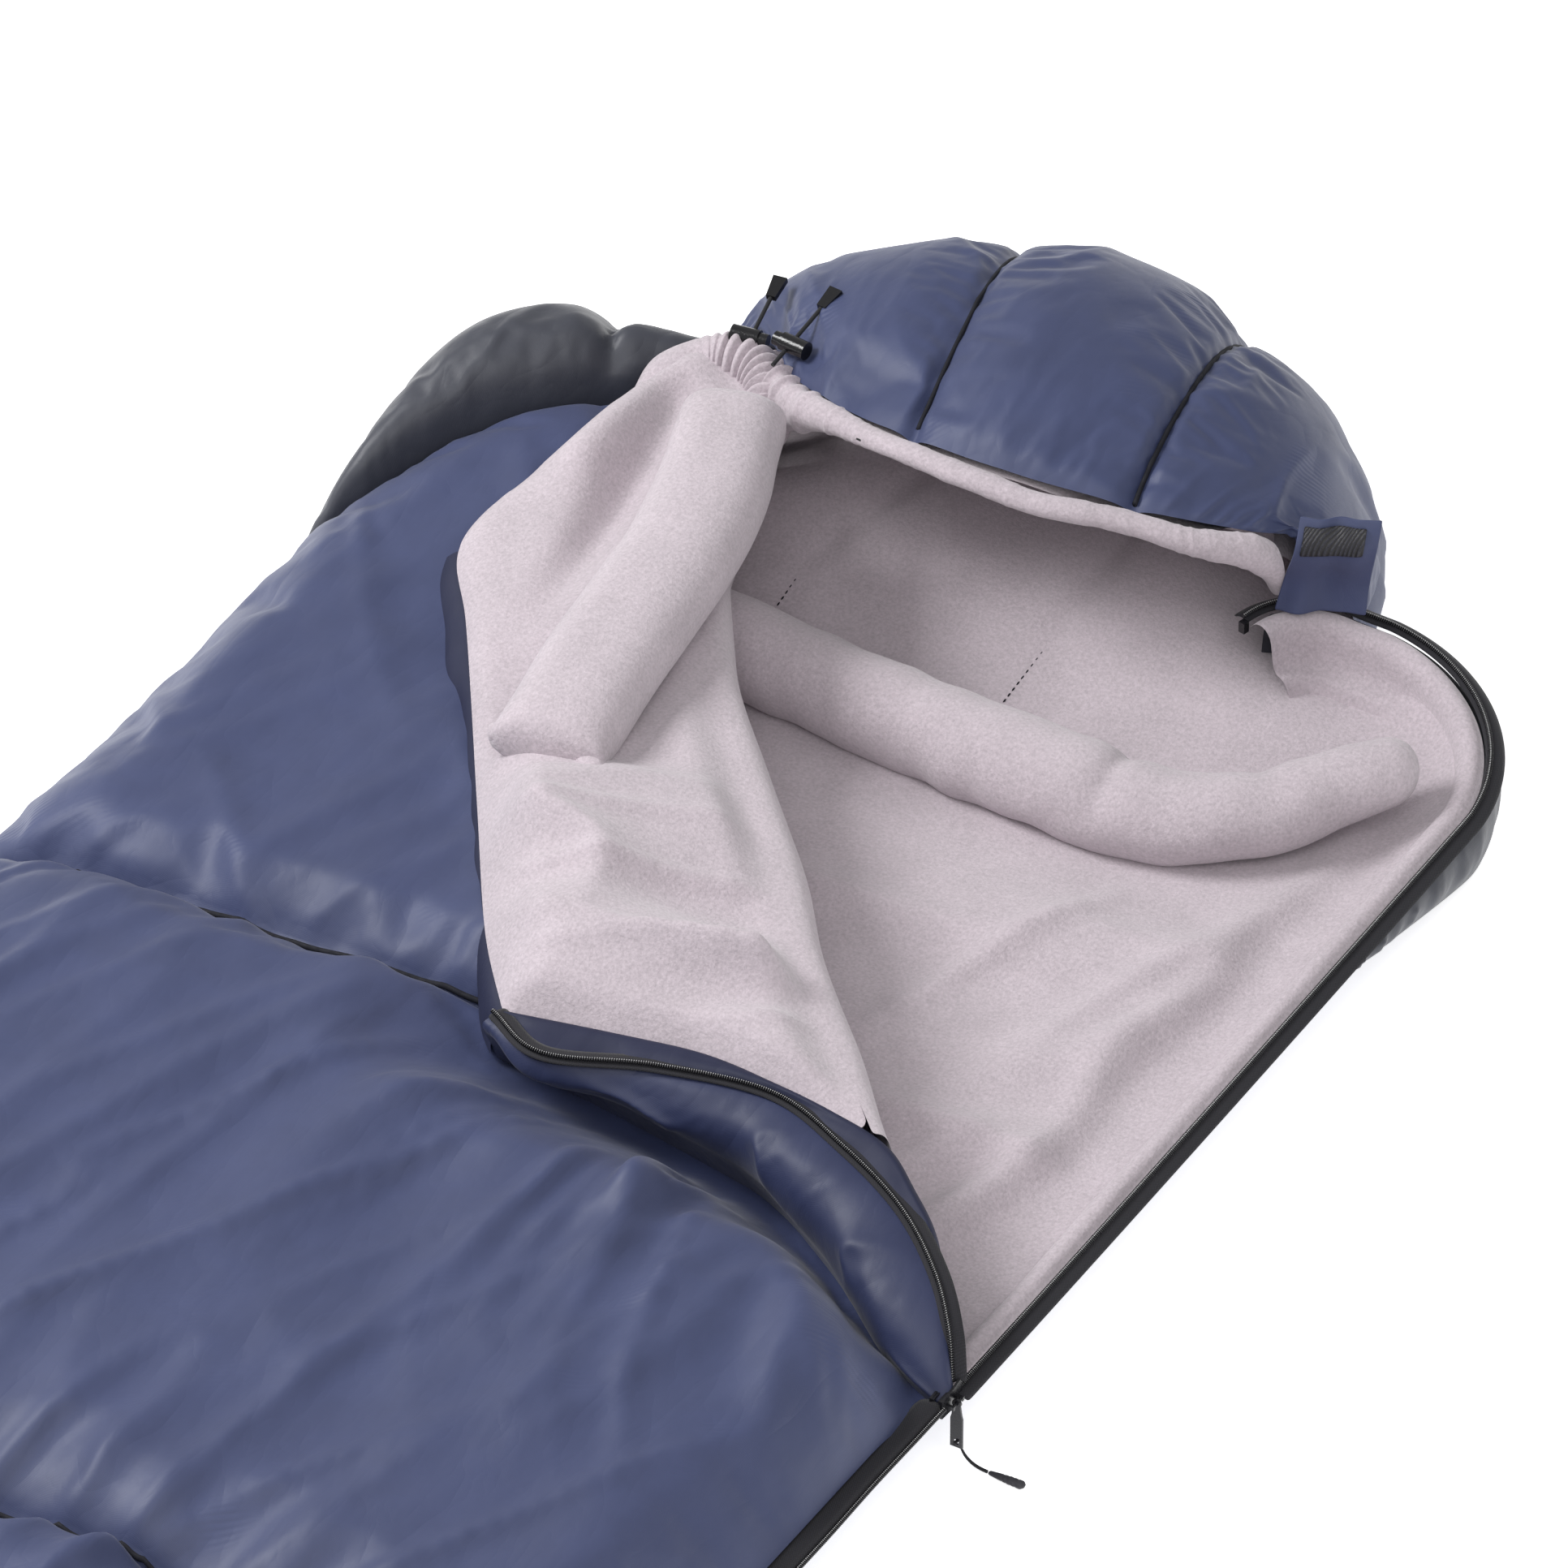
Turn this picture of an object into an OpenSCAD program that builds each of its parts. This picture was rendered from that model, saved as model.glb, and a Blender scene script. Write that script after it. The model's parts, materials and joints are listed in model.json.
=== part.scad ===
// Hooded rectangular sleeping bag, laid flat on its back panel with the top panel unzipped
// and its corner folded back. Millimetres. +Y runs from foot to head, +X is the zip side, +Z is up.
// The origin is on the ground, on the centreline, half way between the foot and the hood's tip.

/* [Body] */
// Width of the body, laid flat
body_w = 780; // [760:2:800]
// Length from the foot seam to the tip of the hood
total_l = 2200; // [2150:10:2300]
// Corner radius at the foot
foot_r = 130; // [60:5:180]
// Corner radius at the shoulders
shoulder_r = 120; // [110:5:130]
// How far the hood reaches past the shoulder line
hood_l = 243; // [238:1:248]
// Half the width of the hood where it meets the shoulders
hood_half_w = 238; // [234:1:242]

/* [Layers] */
// Thickness of the padded base panel
base_t = 36; // [30:1:40]
// Room left between the base panel and the top panel
cavity = 22; // [16:1:28]
// Thickness of the padded top panel
top_t = 42; // [36:1:46]
// Thickness of the shell fabric
skin_t = 1.2; // [0.8:0.1:1.6]
// Thickness of the fleece lining
fleece_t = 2.5; // [1.5:0.1:3]

/* [Opening] */
// Where the zip slider stands, measured from the origin
slider_y = 95; // [70:5:110]
// Where the fold of the turned-back corner starts, across the bag
fold_x = 278; // [274:1:282]
// Where the fold of the turned-back corner starts, along the bag
fold_y = 211; // [206:1:215]
// Angle between the fold and the bag's length
fold_turn = 37; // [36:0.1:38]
// How steeply the fold climbs towards the neck
fold_tilt = 2.5; // [2:0.1:3]
// Length of the fold
fold_len = 740; // [720:5:745]

/* [Hood] */
// Height of the rim at its middle
rim_h = 187; // [182:1:192]
// Height of the rim where it meets the neck
rim_end_h = 126; // [123:1:129]
// How far the rim's middle reaches forward of its ends
rim_dip = 116; // [108:1:119]
// Radius of the drawcord channel along the rim
channel_r = 8; // [7:0.5:9]

/* [Zip] */
// Height of the closed zip above the ground
zip_z = 50; // [48:0.5:52]
// Width of one zip tape
tape_w = 14; // [11:0.5:15]
// Width of the coil on one tape
coil_w = 3.4; // [3:0.1:4]
// Radius of the bar that the pull tab turns on
bar_r = 1.2; // [1:0.1:1.4]

/* [Cord hardware] */
// Radius of a cord lock's barrel
lock_r = 6.2; // [5.8:0.1:7]
// Length of a cord lock's barrel
lock_l = 19; // [17:0.5:22]
// Radius of the drawcord
cord_r = 1.4; // [1.2:0.1:1.6]

/* [Hidden] */
$fn = 32;
navy = "#4b5273";
charcoal = "#3b3d46";
fleece = "#cfc6cd";
black = "#17171b";
batting = "#f2f2ee";

gap = 0.3;                                  // clearance between layers that touch in the real bag
foot_y = -total_l / 2;
tip_y = total_l / 2;
shoulder_y = tip_y - hood_l;                // the straight line across the shoulders
half_w = body_w / 2;
hood_cy = shoulder_y - 10;                  // centre of the hood's elliptical outline
top_z0 = base_t + cavity;                   // underside of the top panel
top_z1 = top_z0 + top_t;                    // upper face of the top panel
zip_x = half_w + 6.5;                       // plane of the zip chain, outside the side walls
zip_bottom_y = foot_y + foot_r + 20;
yoke_y = 590;                               // the shoulder yoke starts here
quilt_pitch = 550;                          // distance between the quilting seams across the top
seam_y = fold_y + 11;                       // the quilting seam nearest the head
curl_r = 58;                                // radius of the zip's last turn, at the neck

// ---- helpers -------------------------------------------------------------------------------

function arc(centre, r, a0, a1, n) =
    [for (i = [0:n]) let (a = a0 + (a1 - a0) * i / n) centre + r * [cos(a), sin(a)]];
function mirrored(points) = [for (i = [len(points) - 1:-1:0]) [-points[i].x, points[i].y]];
function mix(a, b, t) = a + (b - a) * t;
function bezier(a, b, c, t) = mix(mix(a, b, t), mix(b, c, t), t);
function oval(rx, rz, n = 12) = [for (i = [0:n - 1]) [rx * cos(360 * i / n), rz * sin(360 * i / n)]];
function strip(x0, x1, z0, z1) = [[x0, z0], [x1, z0], [x1, z1], [x0, z1]];

// Outline of the whole bag seen from above, moved inwards by d
function right_outline(d) = concat(
    arc([half_w - foot_r, foot_y + foot_r], foot_r - d, -90, 0, 10),
    arc([half_w - shoulder_r, shoulder_y - shoulder_r], shoulder_r - d, 0, 70, 10),
    [for (a = [10:8:82]) [(hood_half_w - d) * cos(a), hood_cy + (tip_y - hood_cy - d) * sin(a)]]
);
function outline(d) = concat(right_outline(d), [[0, tip_y - d]], mirrored(right_outline(d)));

module flat(points, z0, z1) {
    translate([0, 0, z0]) linear_extrude(z1 - z0) polygon(points);
}

// One ring of a sweep: the section's first number runs to the right of the path, its second runs up
function ring(path, i, section) =
    let (d = path[min(i + 1, len(path) - 1)] - path[max(i - 1, 0)],
         side = [d.y, -d.x, 0] / norm([d.x, d.y]))
    [for (s = section) path[i] + s[0] * side + [0, 0, s[1]]];
function quad(a, b, c, d) = [[a, b, c], [a, c, d]];

// Solid swept along a path. Sections run anticlockwise, seen from the path's start.
module sweep(path, section) {
    n = len(section);
    last = (len(path) - 1) * n;
    walls = [for (i = [0:len(path) - 2], j = [0:n - 1]) let (k = (j + 1) % n)
        each quad(i * n + j, i * n + k, (i + 1) * n + k, (i + 1) * n + j)];
    polyhedron(
        points = [for (i = [0:len(path) - 1]) each ring(path, i, section)],
        faces = concat([[for (j = [n - 1:-1:0]) j]], walls, [[for (j = [0:n - 1]) last + j]])
    );
}

// Hollow tube swept along a path, with its ends open
module hose(path, outer, inner) {
    n = len(outer);
    m = len(path);
    in0 = m * n;
    out_faces = [for (i = [0:m - 2], j = [0:n - 1]) let (k = (j + 1) % n)
        each quad(i * n + j, i * n + k, (i + 1) * n + k, (i + 1) * n + j)];
    in_faces = [for (f = out_faces) [in0 + f[2], in0 + f[1], in0 + f[0]]];
    start = [for (j = [0:n - 1]) let (k = (j + 1) % n) each quad(j, in0 + j, in0 + k, k)];
    end = [for (j = [0:n - 1]) let (k = (j + 1) % n, e = (m - 1) * n)
        each quad(e + j, e + k, in0 + e + k, in0 + e + j)];
    polyhedron(
        points = concat([for (i = [0:m - 1]) each ring(path, i, outer)],
                        [for (i = [0:m - 1]) each ring(path, i, inner)]),
        faces = concat(out_faces, in_faces, start, end)
    );
}

// Solid between two matching grids of points; the upper grid's rows run away, its columns to the right
module between(upper, lower) {
    r = len(upper);
    c = len(upper[0]);
    low0 = r * c;
    top_faces = [for (i = [0:r - 2], j = [0:c - 2]) each quad(
        i * c + j, (i + 1) * c + j, (i + 1) * c + j + 1, i * c + j + 1)];
    low_faces = [for (f = top_faces) [low0 + f[2], low0 + f[1], low0 + f[0]]];
    front = [for (j = [0:c - 2]) each quad(j, j + 1, low0 + j + 1, low0 + j)];
    back = [for (j = [0:c - 2]) let (e = (r - 1) * c + j)
        each quad(e + 1, e, low0 + e, low0 + e + 1)];
    left = [for (i = [0:r - 2]) let (e = i * c) each quad(e + c, e, low0 + e, low0 + e + c)];
    right = [for (i = [0:r - 2]) let (e = i * c + c - 1)
        each quad(e, e + c, low0 + e + c, low0 + e)];
    polyhedron(
        points = concat([for (row = upper) each row], [for (row = lower) each row]),
        faces = concat(top_faces, low_faces, front, back, left, right)
    );
}

// ---- base panel ----------------------------------------------------------------------------

module base_outer_shell() {
    color(navy) difference() {
        flat(outline(0), 0, base_t - fleece_t - gap);
        flat(outline(skin_t), skin_t, base_t);
    }
}
module base_insulation() {
    color(batting) flat(outline(skin_t + gap), skin_t + gap, base_t - fleece_t - gap);
}
module base_lining() {
    color(fleece) flat(outline(0), base_t - fleece_t, base_t);
}

// Path of the zip's coil on the base panel: straight up the side, round the shoulder, curled in at the neck.
// The zip climbs from zip_z to the neck, because the panel's edge stands up there.
zip_climb = 45;                             // how much higher the zip's end is than its closed part
shoulder_c = [zip_x - shoulder_r, shoulder_y - shoulder_r];
zip_start_y = slider_y + 14;
zip_plan = concat(
    [for (y = [zip_start_y:(shoulder_c.y - zip_start_y) / 10:shoulder_c.y - 1]) [zip_x, y]],
    arc(shoulder_c, shoulder_r, 0, 90, 15),
    arc(shoulder_c + [-20, shoulder_r - curl_r], curl_r, 90, 172, 9)
);
function zip_rise(i) = let (t = i / (len(zip_plan) - 1)) zip_climb * (3 - 2 * t) * t * t;
zip_path = [for (i = [0:len(zip_plan) - 1]) [zip_plan[i].x, zip_plan[i].y, zip_z - 4 + zip_rise(i)]];
shoulder_path = [for (p = zip_path) if (p.y > yoke_y && p.x > shoulder_c.x) p];

// Upright padded edge that carries the zip tape; its foot stands on the lining and its height follows the zip
module edge_wall(path) {
    wall_out = 5;                           // distance of the outer face from the zip, inside the tape
    wall_in = 13;
    upper = [for (x = [wall_out, wall_in])
        [for (i = [0:len(path) - 1]) ring(path, i, [[-x, -coil_w / 2 - gap]])[0]]];
    lower = [for (row = upper) [for (p = row) [p.x, p.y, base_t + gap]]];
    between(upper, lower);
}
module base_side_wall() {
    color(navy) edge_wall([for (p = zip_path) if (p.y > slider_y + 30 && p.y < yoke_y - 2) p]);
}
module shoulder_yoke() {
    color(charcoal) edge_wall(shoulder_path);
}

// The seam that joins the base and top shells, round the left side and the foot
module side_seam_wall() {
    color(navy) difference() {
        flat(outline(0), base_t + gap, top_z0 - gap);
        flat(outline(skin_t), base_t, top_z0);
        translate([-half_w + 30, foot_y + foot_r, base_t - 1]) cube([2 * half_w, total_l, cavity + 2]);
        translate([-half_w - 1, yoke_y - 1, base_t - 1]) cube([2 * half_w, total_l, cavity + 2]);
    }
}

// Insulated tube behind the zip, lying on the base lining
module zip_draft_tube() {
    r = 10;
    inset = -(r + 14);                      // the tube's centre, inwards from the zip
    path = [for (i = [0:len(zip_path) - 1]) if (zip_path[i].y > fold_y && zip_path[i].x > shoulder_c.x)
        let (p = ring(zip_path, i, [[inset, 0]])[0]) [p.x, p.y, base_t + gap + r]];
    color(fleece) sweep(path, oval(r, r));
}

// Insulated tube across the base panel, behind the neck
neck_tube_rx = 33;
neck_tube_rz = 23;
neck_tube_z = base_t + gap + neck_tube_rz;
neck_tube_path = concat(
    [[-8, 645, neck_tube_z], [60, 643, neck_tube_z], [130, 641, neck_tube_z]],
    [for (i = [0:8]) let (p = bezier([170, 640], [290, 640], [328, 730], i / 8)) [p.x, p.y, neck_tube_z]]
);
module neck_tube_cover() {
    color(fleece) hose(neck_tube_path, oval(neck_tube_rx, neck_tube_rz),
                       oval(neck_tube_rx - fleece_t, neck_tube_rz - fleece_t));
}
module neck_tube_fill() {
    inner = fleece_t + gap;
    color(batting) sweep(neck_tube_path, oval(neck_tube_rx - inner, neck_tube_rz - inner));
}

// ---- top panel -----------------------------------------------------------------------------

fold_start = [fold_x, fold_y];
fold_dir = [-sin(fold_turn), cos(fold_turn)];
fold_side = [cos(fold_turn), sin(fold_turn)];
fold_end = fold_start + fold_len * fold_dir;
neck_corner = [-240, 790];                  // where the yoke's seam reaches the neck edge
yoke_foot = [-half_w, yoke_y];

// Right edge of the top panel: up the zip side to the slider, across the mouth, along the fold
function top_right(d) = concat(
    arc([half_w - foot_r, foot_y + foot_r], foot_r - d, -90, 0, 10),
    [[half_w - d, slider_y - d], fold_start - d * fold_side, fold_end - d * [1, 1]]
);
function top_outline(d) = concat(
    top_right(d),
    [neck_corner + d * [0.5, -1], yoke_foot + d * [1, -0.5]],
    [for (p = mirrored(arc([half_w - foot_r, foot_y + foot_r], foot_r - d, -90, 0, 10))) p]
);
module top_outer_shell() {
    color(navy) difference() {
        flat(top_outline(0), top_z0, top_z1);
        flat(top_outline(skin_t), top_z0 - 1, top_z1 - skin_t);
    }
}
module top_insulation() {
    edge = skin_t + gap;
    color(batting) difference() {
        flat(top_outline(edge), top_z0 + fleece_t + gap, top_z1 - edge);
        for (k = [0:2]) translate([-half_w, seam_y - k * quilt_pitch - 1, top_z0])
            cube([body_w, 2, top_t]);
    }
}
module top_lining() {
    color(fleece) flat(top_outline(skin_t + gap), top_z0, top_z0 + fleece_t);
}
// Charcoal padded panel on the left shoulder, sewn to the top panel's slanting edge
module shoulder_pad() {
    left = mirrored(arc([half_w - shoulder_r, shoulder_y - shoulder_r], shoulder_r, 0, 70, 10));
    color(charcoal) flat(concat([neck_corner + [-1, 1]], left, [yoke_foot + [0, 1.5]]),
                         base_t + gap, top_z1 - 4);
}

// ---- turned-back corner --------------------------------------------------------------------

flap_z = top_z1 + 2;                        // height of the fold's axis at its start
// Local frame of the flap: +Y along the fold, -X over the top panel, +Z up
module flap_frame() {
    translate([fold_x, fold_y, flap_z]) rotate([0, 0, fold_turn]) rotate([fold_tilt, 0, 0]) children();
}
flap_corners = [[-gap, 0], [-215, 160], [-205, 580], [-107, 680], [-42, 690], [-gap, 560]];
flap_shell_z = 1.5;
flap_pad_z = flap_shell_z + skin_t + gap;
flap_pad_t = 34;
flap_fleece_z = flap_pad_z + flap_pad_t + gap;
flap_top_z = flap_fleece_z + fleece_t;
module flap_outer_shell() {
    color(navy) flap_frame() flat([for (i = [5:-1:0]) flap_corners[i]], flap_shell_z, flap_shell_z + skin_t);
}
module flap_insulation() {
    color(batting) flap_frame() flat([for (i = [5:-1:0]) flap_corners[i]], flap_pad_z, flap_pad_z + flap_pad_t);
}
module flap_lining() {
    color(fleece) flap_frame() flat([for (i = [5:-1:0]) flap_corners[i]], flap_fleece_z, flap_top_z);
}
// Flat strip that runs along the flap's free edges, from the fold to the far corner.
// near and far are its distances outside the edge.
module edge_strip(near, far, z0, z1) {
    out_a = [-0.6, -0.8];                   // outwards from the first free edge
    out_b = [-1, 0.05];                     // outwards from the second free edge
    corner = [-0.93, -0.36];
    function rim(d) = [flap_corners[0] + [-30, 22.3] + d * out_a, flap_corners[1] + 1.2 * d * corner,
                       flap_corners[2] + [0, -12] + d * out_b];
    a = rim(far);
    b = rim(near);
    flap_frame() flat([a[2], a[1], a[0], b[0], b[1], b[2]], z0, z1);
}
module flap_zip_guard() {
    color(navy) edge_strip(gap, 24, 8, 9);
}
module zip_tape_flap() {
    color(black) edge_strip(gap, tape_w, 1.5, 2.3);
}
module zip_coil_flap() {
    color(black) edge_strip(tape_w - coil_w, tape_w + 0.4, 2.6, 5.4);
}
// Soft half of the hook-and-loop fastener, under the flap's corner; it faces up when the flap is closed
module flap_loop_patch() {
    color(black) flap_frame() translate([-80, 660, 0.2]) cube([42, 18, 1]);
}
// Insulated tube across the chest, sewn to the flap's lining
chest_rx = 29;
chest_rz = 20;
chest_path = [for (i = [0:8]) let (p = bezier([-166, 345], [-118, 450], [-45, 630], i / 8))
    [p.x, p.y, flap_top_z + gap + chest_rz]];
module chest_tube_cover() {
    color(fleece) flap_frame() hose(chest_path, oval(chest_rx, chest_rz),
                                    oval(chest_rx - fleece_t, chest_rz - fleece_t));
}
module chest_tube_fill() {
    inner = fleece_t + gap;
    color(batting) flap_frame() sweep(chest_path, oval(chest_rx - inner, chest_rz - inner));
}
// Small fleece tab at the chest tube's free end
module chest_tube_tab() {
    color(fleece) flap_frame() translate([-146, 308, flap_top_z + 10]) cube([16, 18, 7]);
}

// ---- hood ----------------------------------------------------------------------------------

hood_z0 = base_t + gap;
rim_x = 20;                                 // the rim's middle, which stands off the centreline
rim_y = 870;                                // where the rim would reach the neck line
rim_half = 189;
hood_steps = 18;
hood_rows = 8;
hood_turn = [19, 16];                       // how far short of the neck line the hood's ends stop, in degrees
hood_middle = [0, 870, hood_z0];            // the nested shells shrink towards this point
function hood_angle(j) = mix(180 - hood_turn[0], hood_turn[1], j / hood_steps);
rim_shape = 1.16;                           // above 1, the rim turns down sooner on the zip side
// How far along the rim's dip and rise an angle is
function rim_share(a) = pow(sin(a), cos(a) > 0 ? rim_shape : 1);
function rim_point(a) = [rim_x + rim_half * cos(a), rim_y - rim_dip * rim_share(a),
                         rim_end_h + (rim_h - rim_end_h) * rim_share(a)];
function hem_point(a) = [(hood_half_w - 2) * cos(a), hood_cy + (tip_y - hood_cy - 2) * sin(a), hood_z0];
// The crown's control points, which pull the hood out and up between the rim and the hem
crown_w = 1.05;
crown_reach = 0.48;
crown_end_h = rim_end_h - 12;
crown_h = rim_h + 53;
function crown_point(a) = [hood_half_w * crown_w * cos(a), hood_cy + (tip_y - hood_cy) * crown_reach * sin(a),
                           crown_end_h + (crown_h - crown_end_h) * sin(a)];
function hood_grid(share) = [for (i = [0:hood_rows]) [for (j = [0:hood_steps])
    let (a = hood_angle(j), p = bezier(rim_point(a), crown_point(a), hem_point(a), i / hood_rows))
    mix(hood_middle, p, share)]];
module hood_layer(outer, inner) {
    between(hood_grid(outer), hood_grid(inner));
}
module hood_outer_shell() {
    color(navy) hood_layer(1, 0.990);
}
module hood_insulation() {
    color(batting) hood_layer(0.986, 0.85);
}
module hood_lining() {
    color(fleece) hood_layer(0.845, 0.83);
}
channel_path = [for (j = [0:hood_steps]) rim_point(hood_angle(j)) + [0, -channel_r - 5, -6]];
module hood_cord_channel() {
    color(fleece) hose(channel_path, oval(channel_r, channel_r, 10), oval(3.4, 3.4, 10));
}
module hood_drawcord() {
    color(black) {
        sweep([for (j = [1:hood_steps]) channel_path[j]], oval(cord_r, cord_r, 8));
        lock_frame(0) cord_strand();
    }
}

// ---- drawcord locks ------------------------------------------------------------------------

// Each lock lies on the hood near its left end. Local frame: the barrel along +X with its plunger at
// the +X end, the cord along +Y through a cross hole at the origin.
lock_at = [[-177, 820, 166], [-143, 813, 178]];
lock_spin = [8, -6];
plunger_r = lock_r - 1.4;
press = 4;                                  // plunger travel
cord_hole_r = cord_r + 0.1;
hole_x = 6;                                 // the cord hole, from the barrel's plunger end
cord_reach = 34;                            // length of cord past the lock
module lock_frame(i) {
    translate(lock_at[i]) rotate([16, 0, lock_spin[i]]) children();
}
module along_x(r, x0, x1) {
    translate([x0, 0, 0]) rotate([0, 90, 0]) cylinder(r = r, h = x1 - x0);
}
module along_y(r, y0, y1) {
    translate([0, y0, 0]) rotate([-90, 0, 0]) cylinder(r = r, h = y1 - y0);
}
module cord_strand() {
    along_y(cord_r, -20, cord_reach + 6);
}
module lock_barrel() {
    color(black) difference() {
        along_x(lock_r, hole_x - lock_l, hole_x);
        along_x(plunger_r + 0.1, hole_x - lock_l + 2, hole_x + 1);
        along_y(cord_hole_r, -lock_r - 1, lock_r + 1);
    }
}
module lock_plunger() {
    color("#101013") difference() {
        along_x(plunger_r, -4.5, hole_x + press + 2);
        hull() for (x = [0, press]) translate([x, 0, 0]) along_y(cord_hole_r, -lock_r - 1, lock_r + 1);
    }
}
// The spring fills the barrel's blind end; it shortens as the plunger goes in
module lock_spring() {
    turns = 2;
    wire = 0.4;
    x0 = hole_x - lock_l + 2.6;
    color("silver") for (k = [0:turns]) translate([x0 + k * 0.95, 0, 0]) rotate([0, 90, 0])
        rotate_extrude() translate([plunger_r - 1.2, 0]) circle(r = wire);
}
// Flat moulded end that stops the cord slipping out of its lock
module cord_end() {
    color(black) translate([0, cord_reach + 0.2, 0]) difference() {
        rotate([-90, 0, 0]) linear_extrude(17, scale = [1.5, 1]) square([6.5, 4.4], center = true);
        along_y(cord_r + 0.05, -1, 6.5);
    }
}
module neck_drawcord() {
    color(black) lock_frame(1) cord_strand();
}
module cord_lock_barrel_a() { lock_frame(0) lock_barrel(); }
module cord_lock_spring_a() { lock_frame(0) lock_spring(); }
module cord_lock_plunger_a() { lock_frame(0) lock_plunger(); }
module cord_end_a() { lock_frame(0) cord_end(); }
module cord_lock_barrel_b() { lock_frame(1) mirror([1, 0, 0]) lock_barrel(); }
module cord_lock_spring_b() { lock_frame(1) mirror([1, 0, 0]) lock_spring(); }
module cord_lock_plunger_b() { lock_frame(1) mirror([1, 0, 0]) lock_plunger(); }
module cord_end_b() { lock_frame(1) cord_end(); }

// ---- zip -----------------------------------------------------------------------------------

tape_t = 0.8;
coil_t = 4;                                 // depth of the coil, through the tape
module upright_strip(y0, y1, z0, z1, t) {
    translate([zip_x - t / 2, y0, z0]) cube([t, y1 - y0, z1 - z0]);
}
// Tape sewn to the base panel: straight along the closed zip, then on round the shoulder
module zip_tape_base() {
    color(black) {
        upright_strip(zip_bottom_y, slider_y - 12, zip_z - tape_w - 1, zip_z - coil_w - gap, tape_t);
        sweep(zip_path, strip(-tape_t / 2, tape_t / 2, -tape_w, -coil_w / 2 - gap));
    }
}
module zip_coil_base() {
    color(black) sweep(zip_path, strip(-coil_t / 2, coil_t / 2, -coil_w / 2, coil_w / 2));
}
module zip_tape_top() {
    color(black) upright_strip(zip_bottom_y, slider_y - 12, zip_z + coil_w + gap, zip_z + tape_w + 1, tape_t);
}
// The two closed coils meet in a slit just wide enough for the slider's web
web_t = 0.6;
module zip_coil_closed() {
    slit = web_t / 2 + 0.15;
    color(black) difference() {
        upright_strip(zip_bottom_y, slider_y + 3, zip_z - coil_w, zip_z + coil_w, coil_t);
        upright_strip(zip_bottom_y + 2, slider_y + 4, zip_z - slit, zip_z + slit, coil_t + 1);
    }
}
// Coil of the top panel between the slider and the fold, rising over the mouth's edge
module zip_coil_mouth() {
    start = [zip_x, slider_y + 14, zip_z + 6];
    path = [for (i = [0:10]) bezier(start, [half_w + 2, slider_y + 40, top_z1 + 14],
                                   [fold_x + 14, fold_y - 8, top_z1 + 5], i / 10)];
    color(black) sweep(path, strip(-coil_t / 2, coil_t / 2, -coil_w / 2, coil_w / 2));
}
module zip_bottom_stop() {
    color(black) upright_strip(zip_bottom_y - 6, zip_bottom_y - gap, zip_z - 5, zip_z + 5, 4.6);
}
module zip_top_stop() {
    n = len(zip_path) - 1;
    d = zip_path[n] - zip_path[n - 1];
    u = d / norm(d);
    color(black) sweep([zip_path[n] + gap * u, zip_path[n] + 5 * u], strip(-2.4, 2.4, -5, 3));
}

// Slider. Local frame: origin in the zip chain, +X away from the bag, +Y towards the head.
plate_x = 3;                                // inner face of each plate
plate_t = 1.5;
bar_x = plate_x + plate_t + 3.9;            // axis of the bar that the pull tab turns on
post_y = 5.5;
module slider_frame() {
    translate([zip_x, slider_y, zip_z]) children();
}
module slider_plate(x) {
    translate([x, 0, 0]) rotate([90, 0, 90]) linear_extrude(plate_t)
        polygon([[-11, -6.6], [3, -7.6], [11, -9.2], [12.5, -4], [12.5, 4], [11, 9.2], [3, 7.6], [-11, 6.6]]);
}
module zip_slider() {
    lip = 1.6;                              // the plates' edges turn in by this much
    color("#26262b") slider_frame() {
        slider_plate(plate_x);
        slider_plate(-plate_x - plate_t);
        for (side = [-1, 1], x = [-plate_x, plate_x - lip])
            translate([x, -11, side > 0 ? 5.2 : -6.5]) cube([lip, 14, 1.3]);
        translate([-plate_x - 0.5, 4.5, -web_t / 2]) cube([2 * plate_x + 1, 7, web_t]);
        for (y = [-post_y, post_y]) translate([plate_x + plate_t - 0.1, y - 1, -1.4])
            cube([bar_x - plate_x - plate_t + 1.5, 2, 2.8]);
        translate([bar_x, 0, 0]) along_y(bar_r, -post_y, post_y);
    }
}
tab_l = 30;                                 // from the bar's axis to the cord hole
tab_t = 1.6;
module zip_pull_tab() {
    eye_r = bar_r + 0.08;
    color("#26262b") slider_frame() translate([bar_x, 0, 0]) difference() {
        rotate([90, 0, 0]) translate([0, 0, -tab_t / 2]) linear_extrude(tab_t) union() {
            circle(r = 3.1);
            polygon([[-2.2, 0], [2.2, 0], [3.4, -9], [4.2, -12], [4.2, -tab_l - 4], [-4.2, -tab_l - 4],
                     [-4.2, -12], [-3.4, -9]]);
        }
        along_y(eye_r, -5, 5);
        translate([0, 0, -tab_l]) along_y(2, -5, 5);
    }
}
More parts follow.
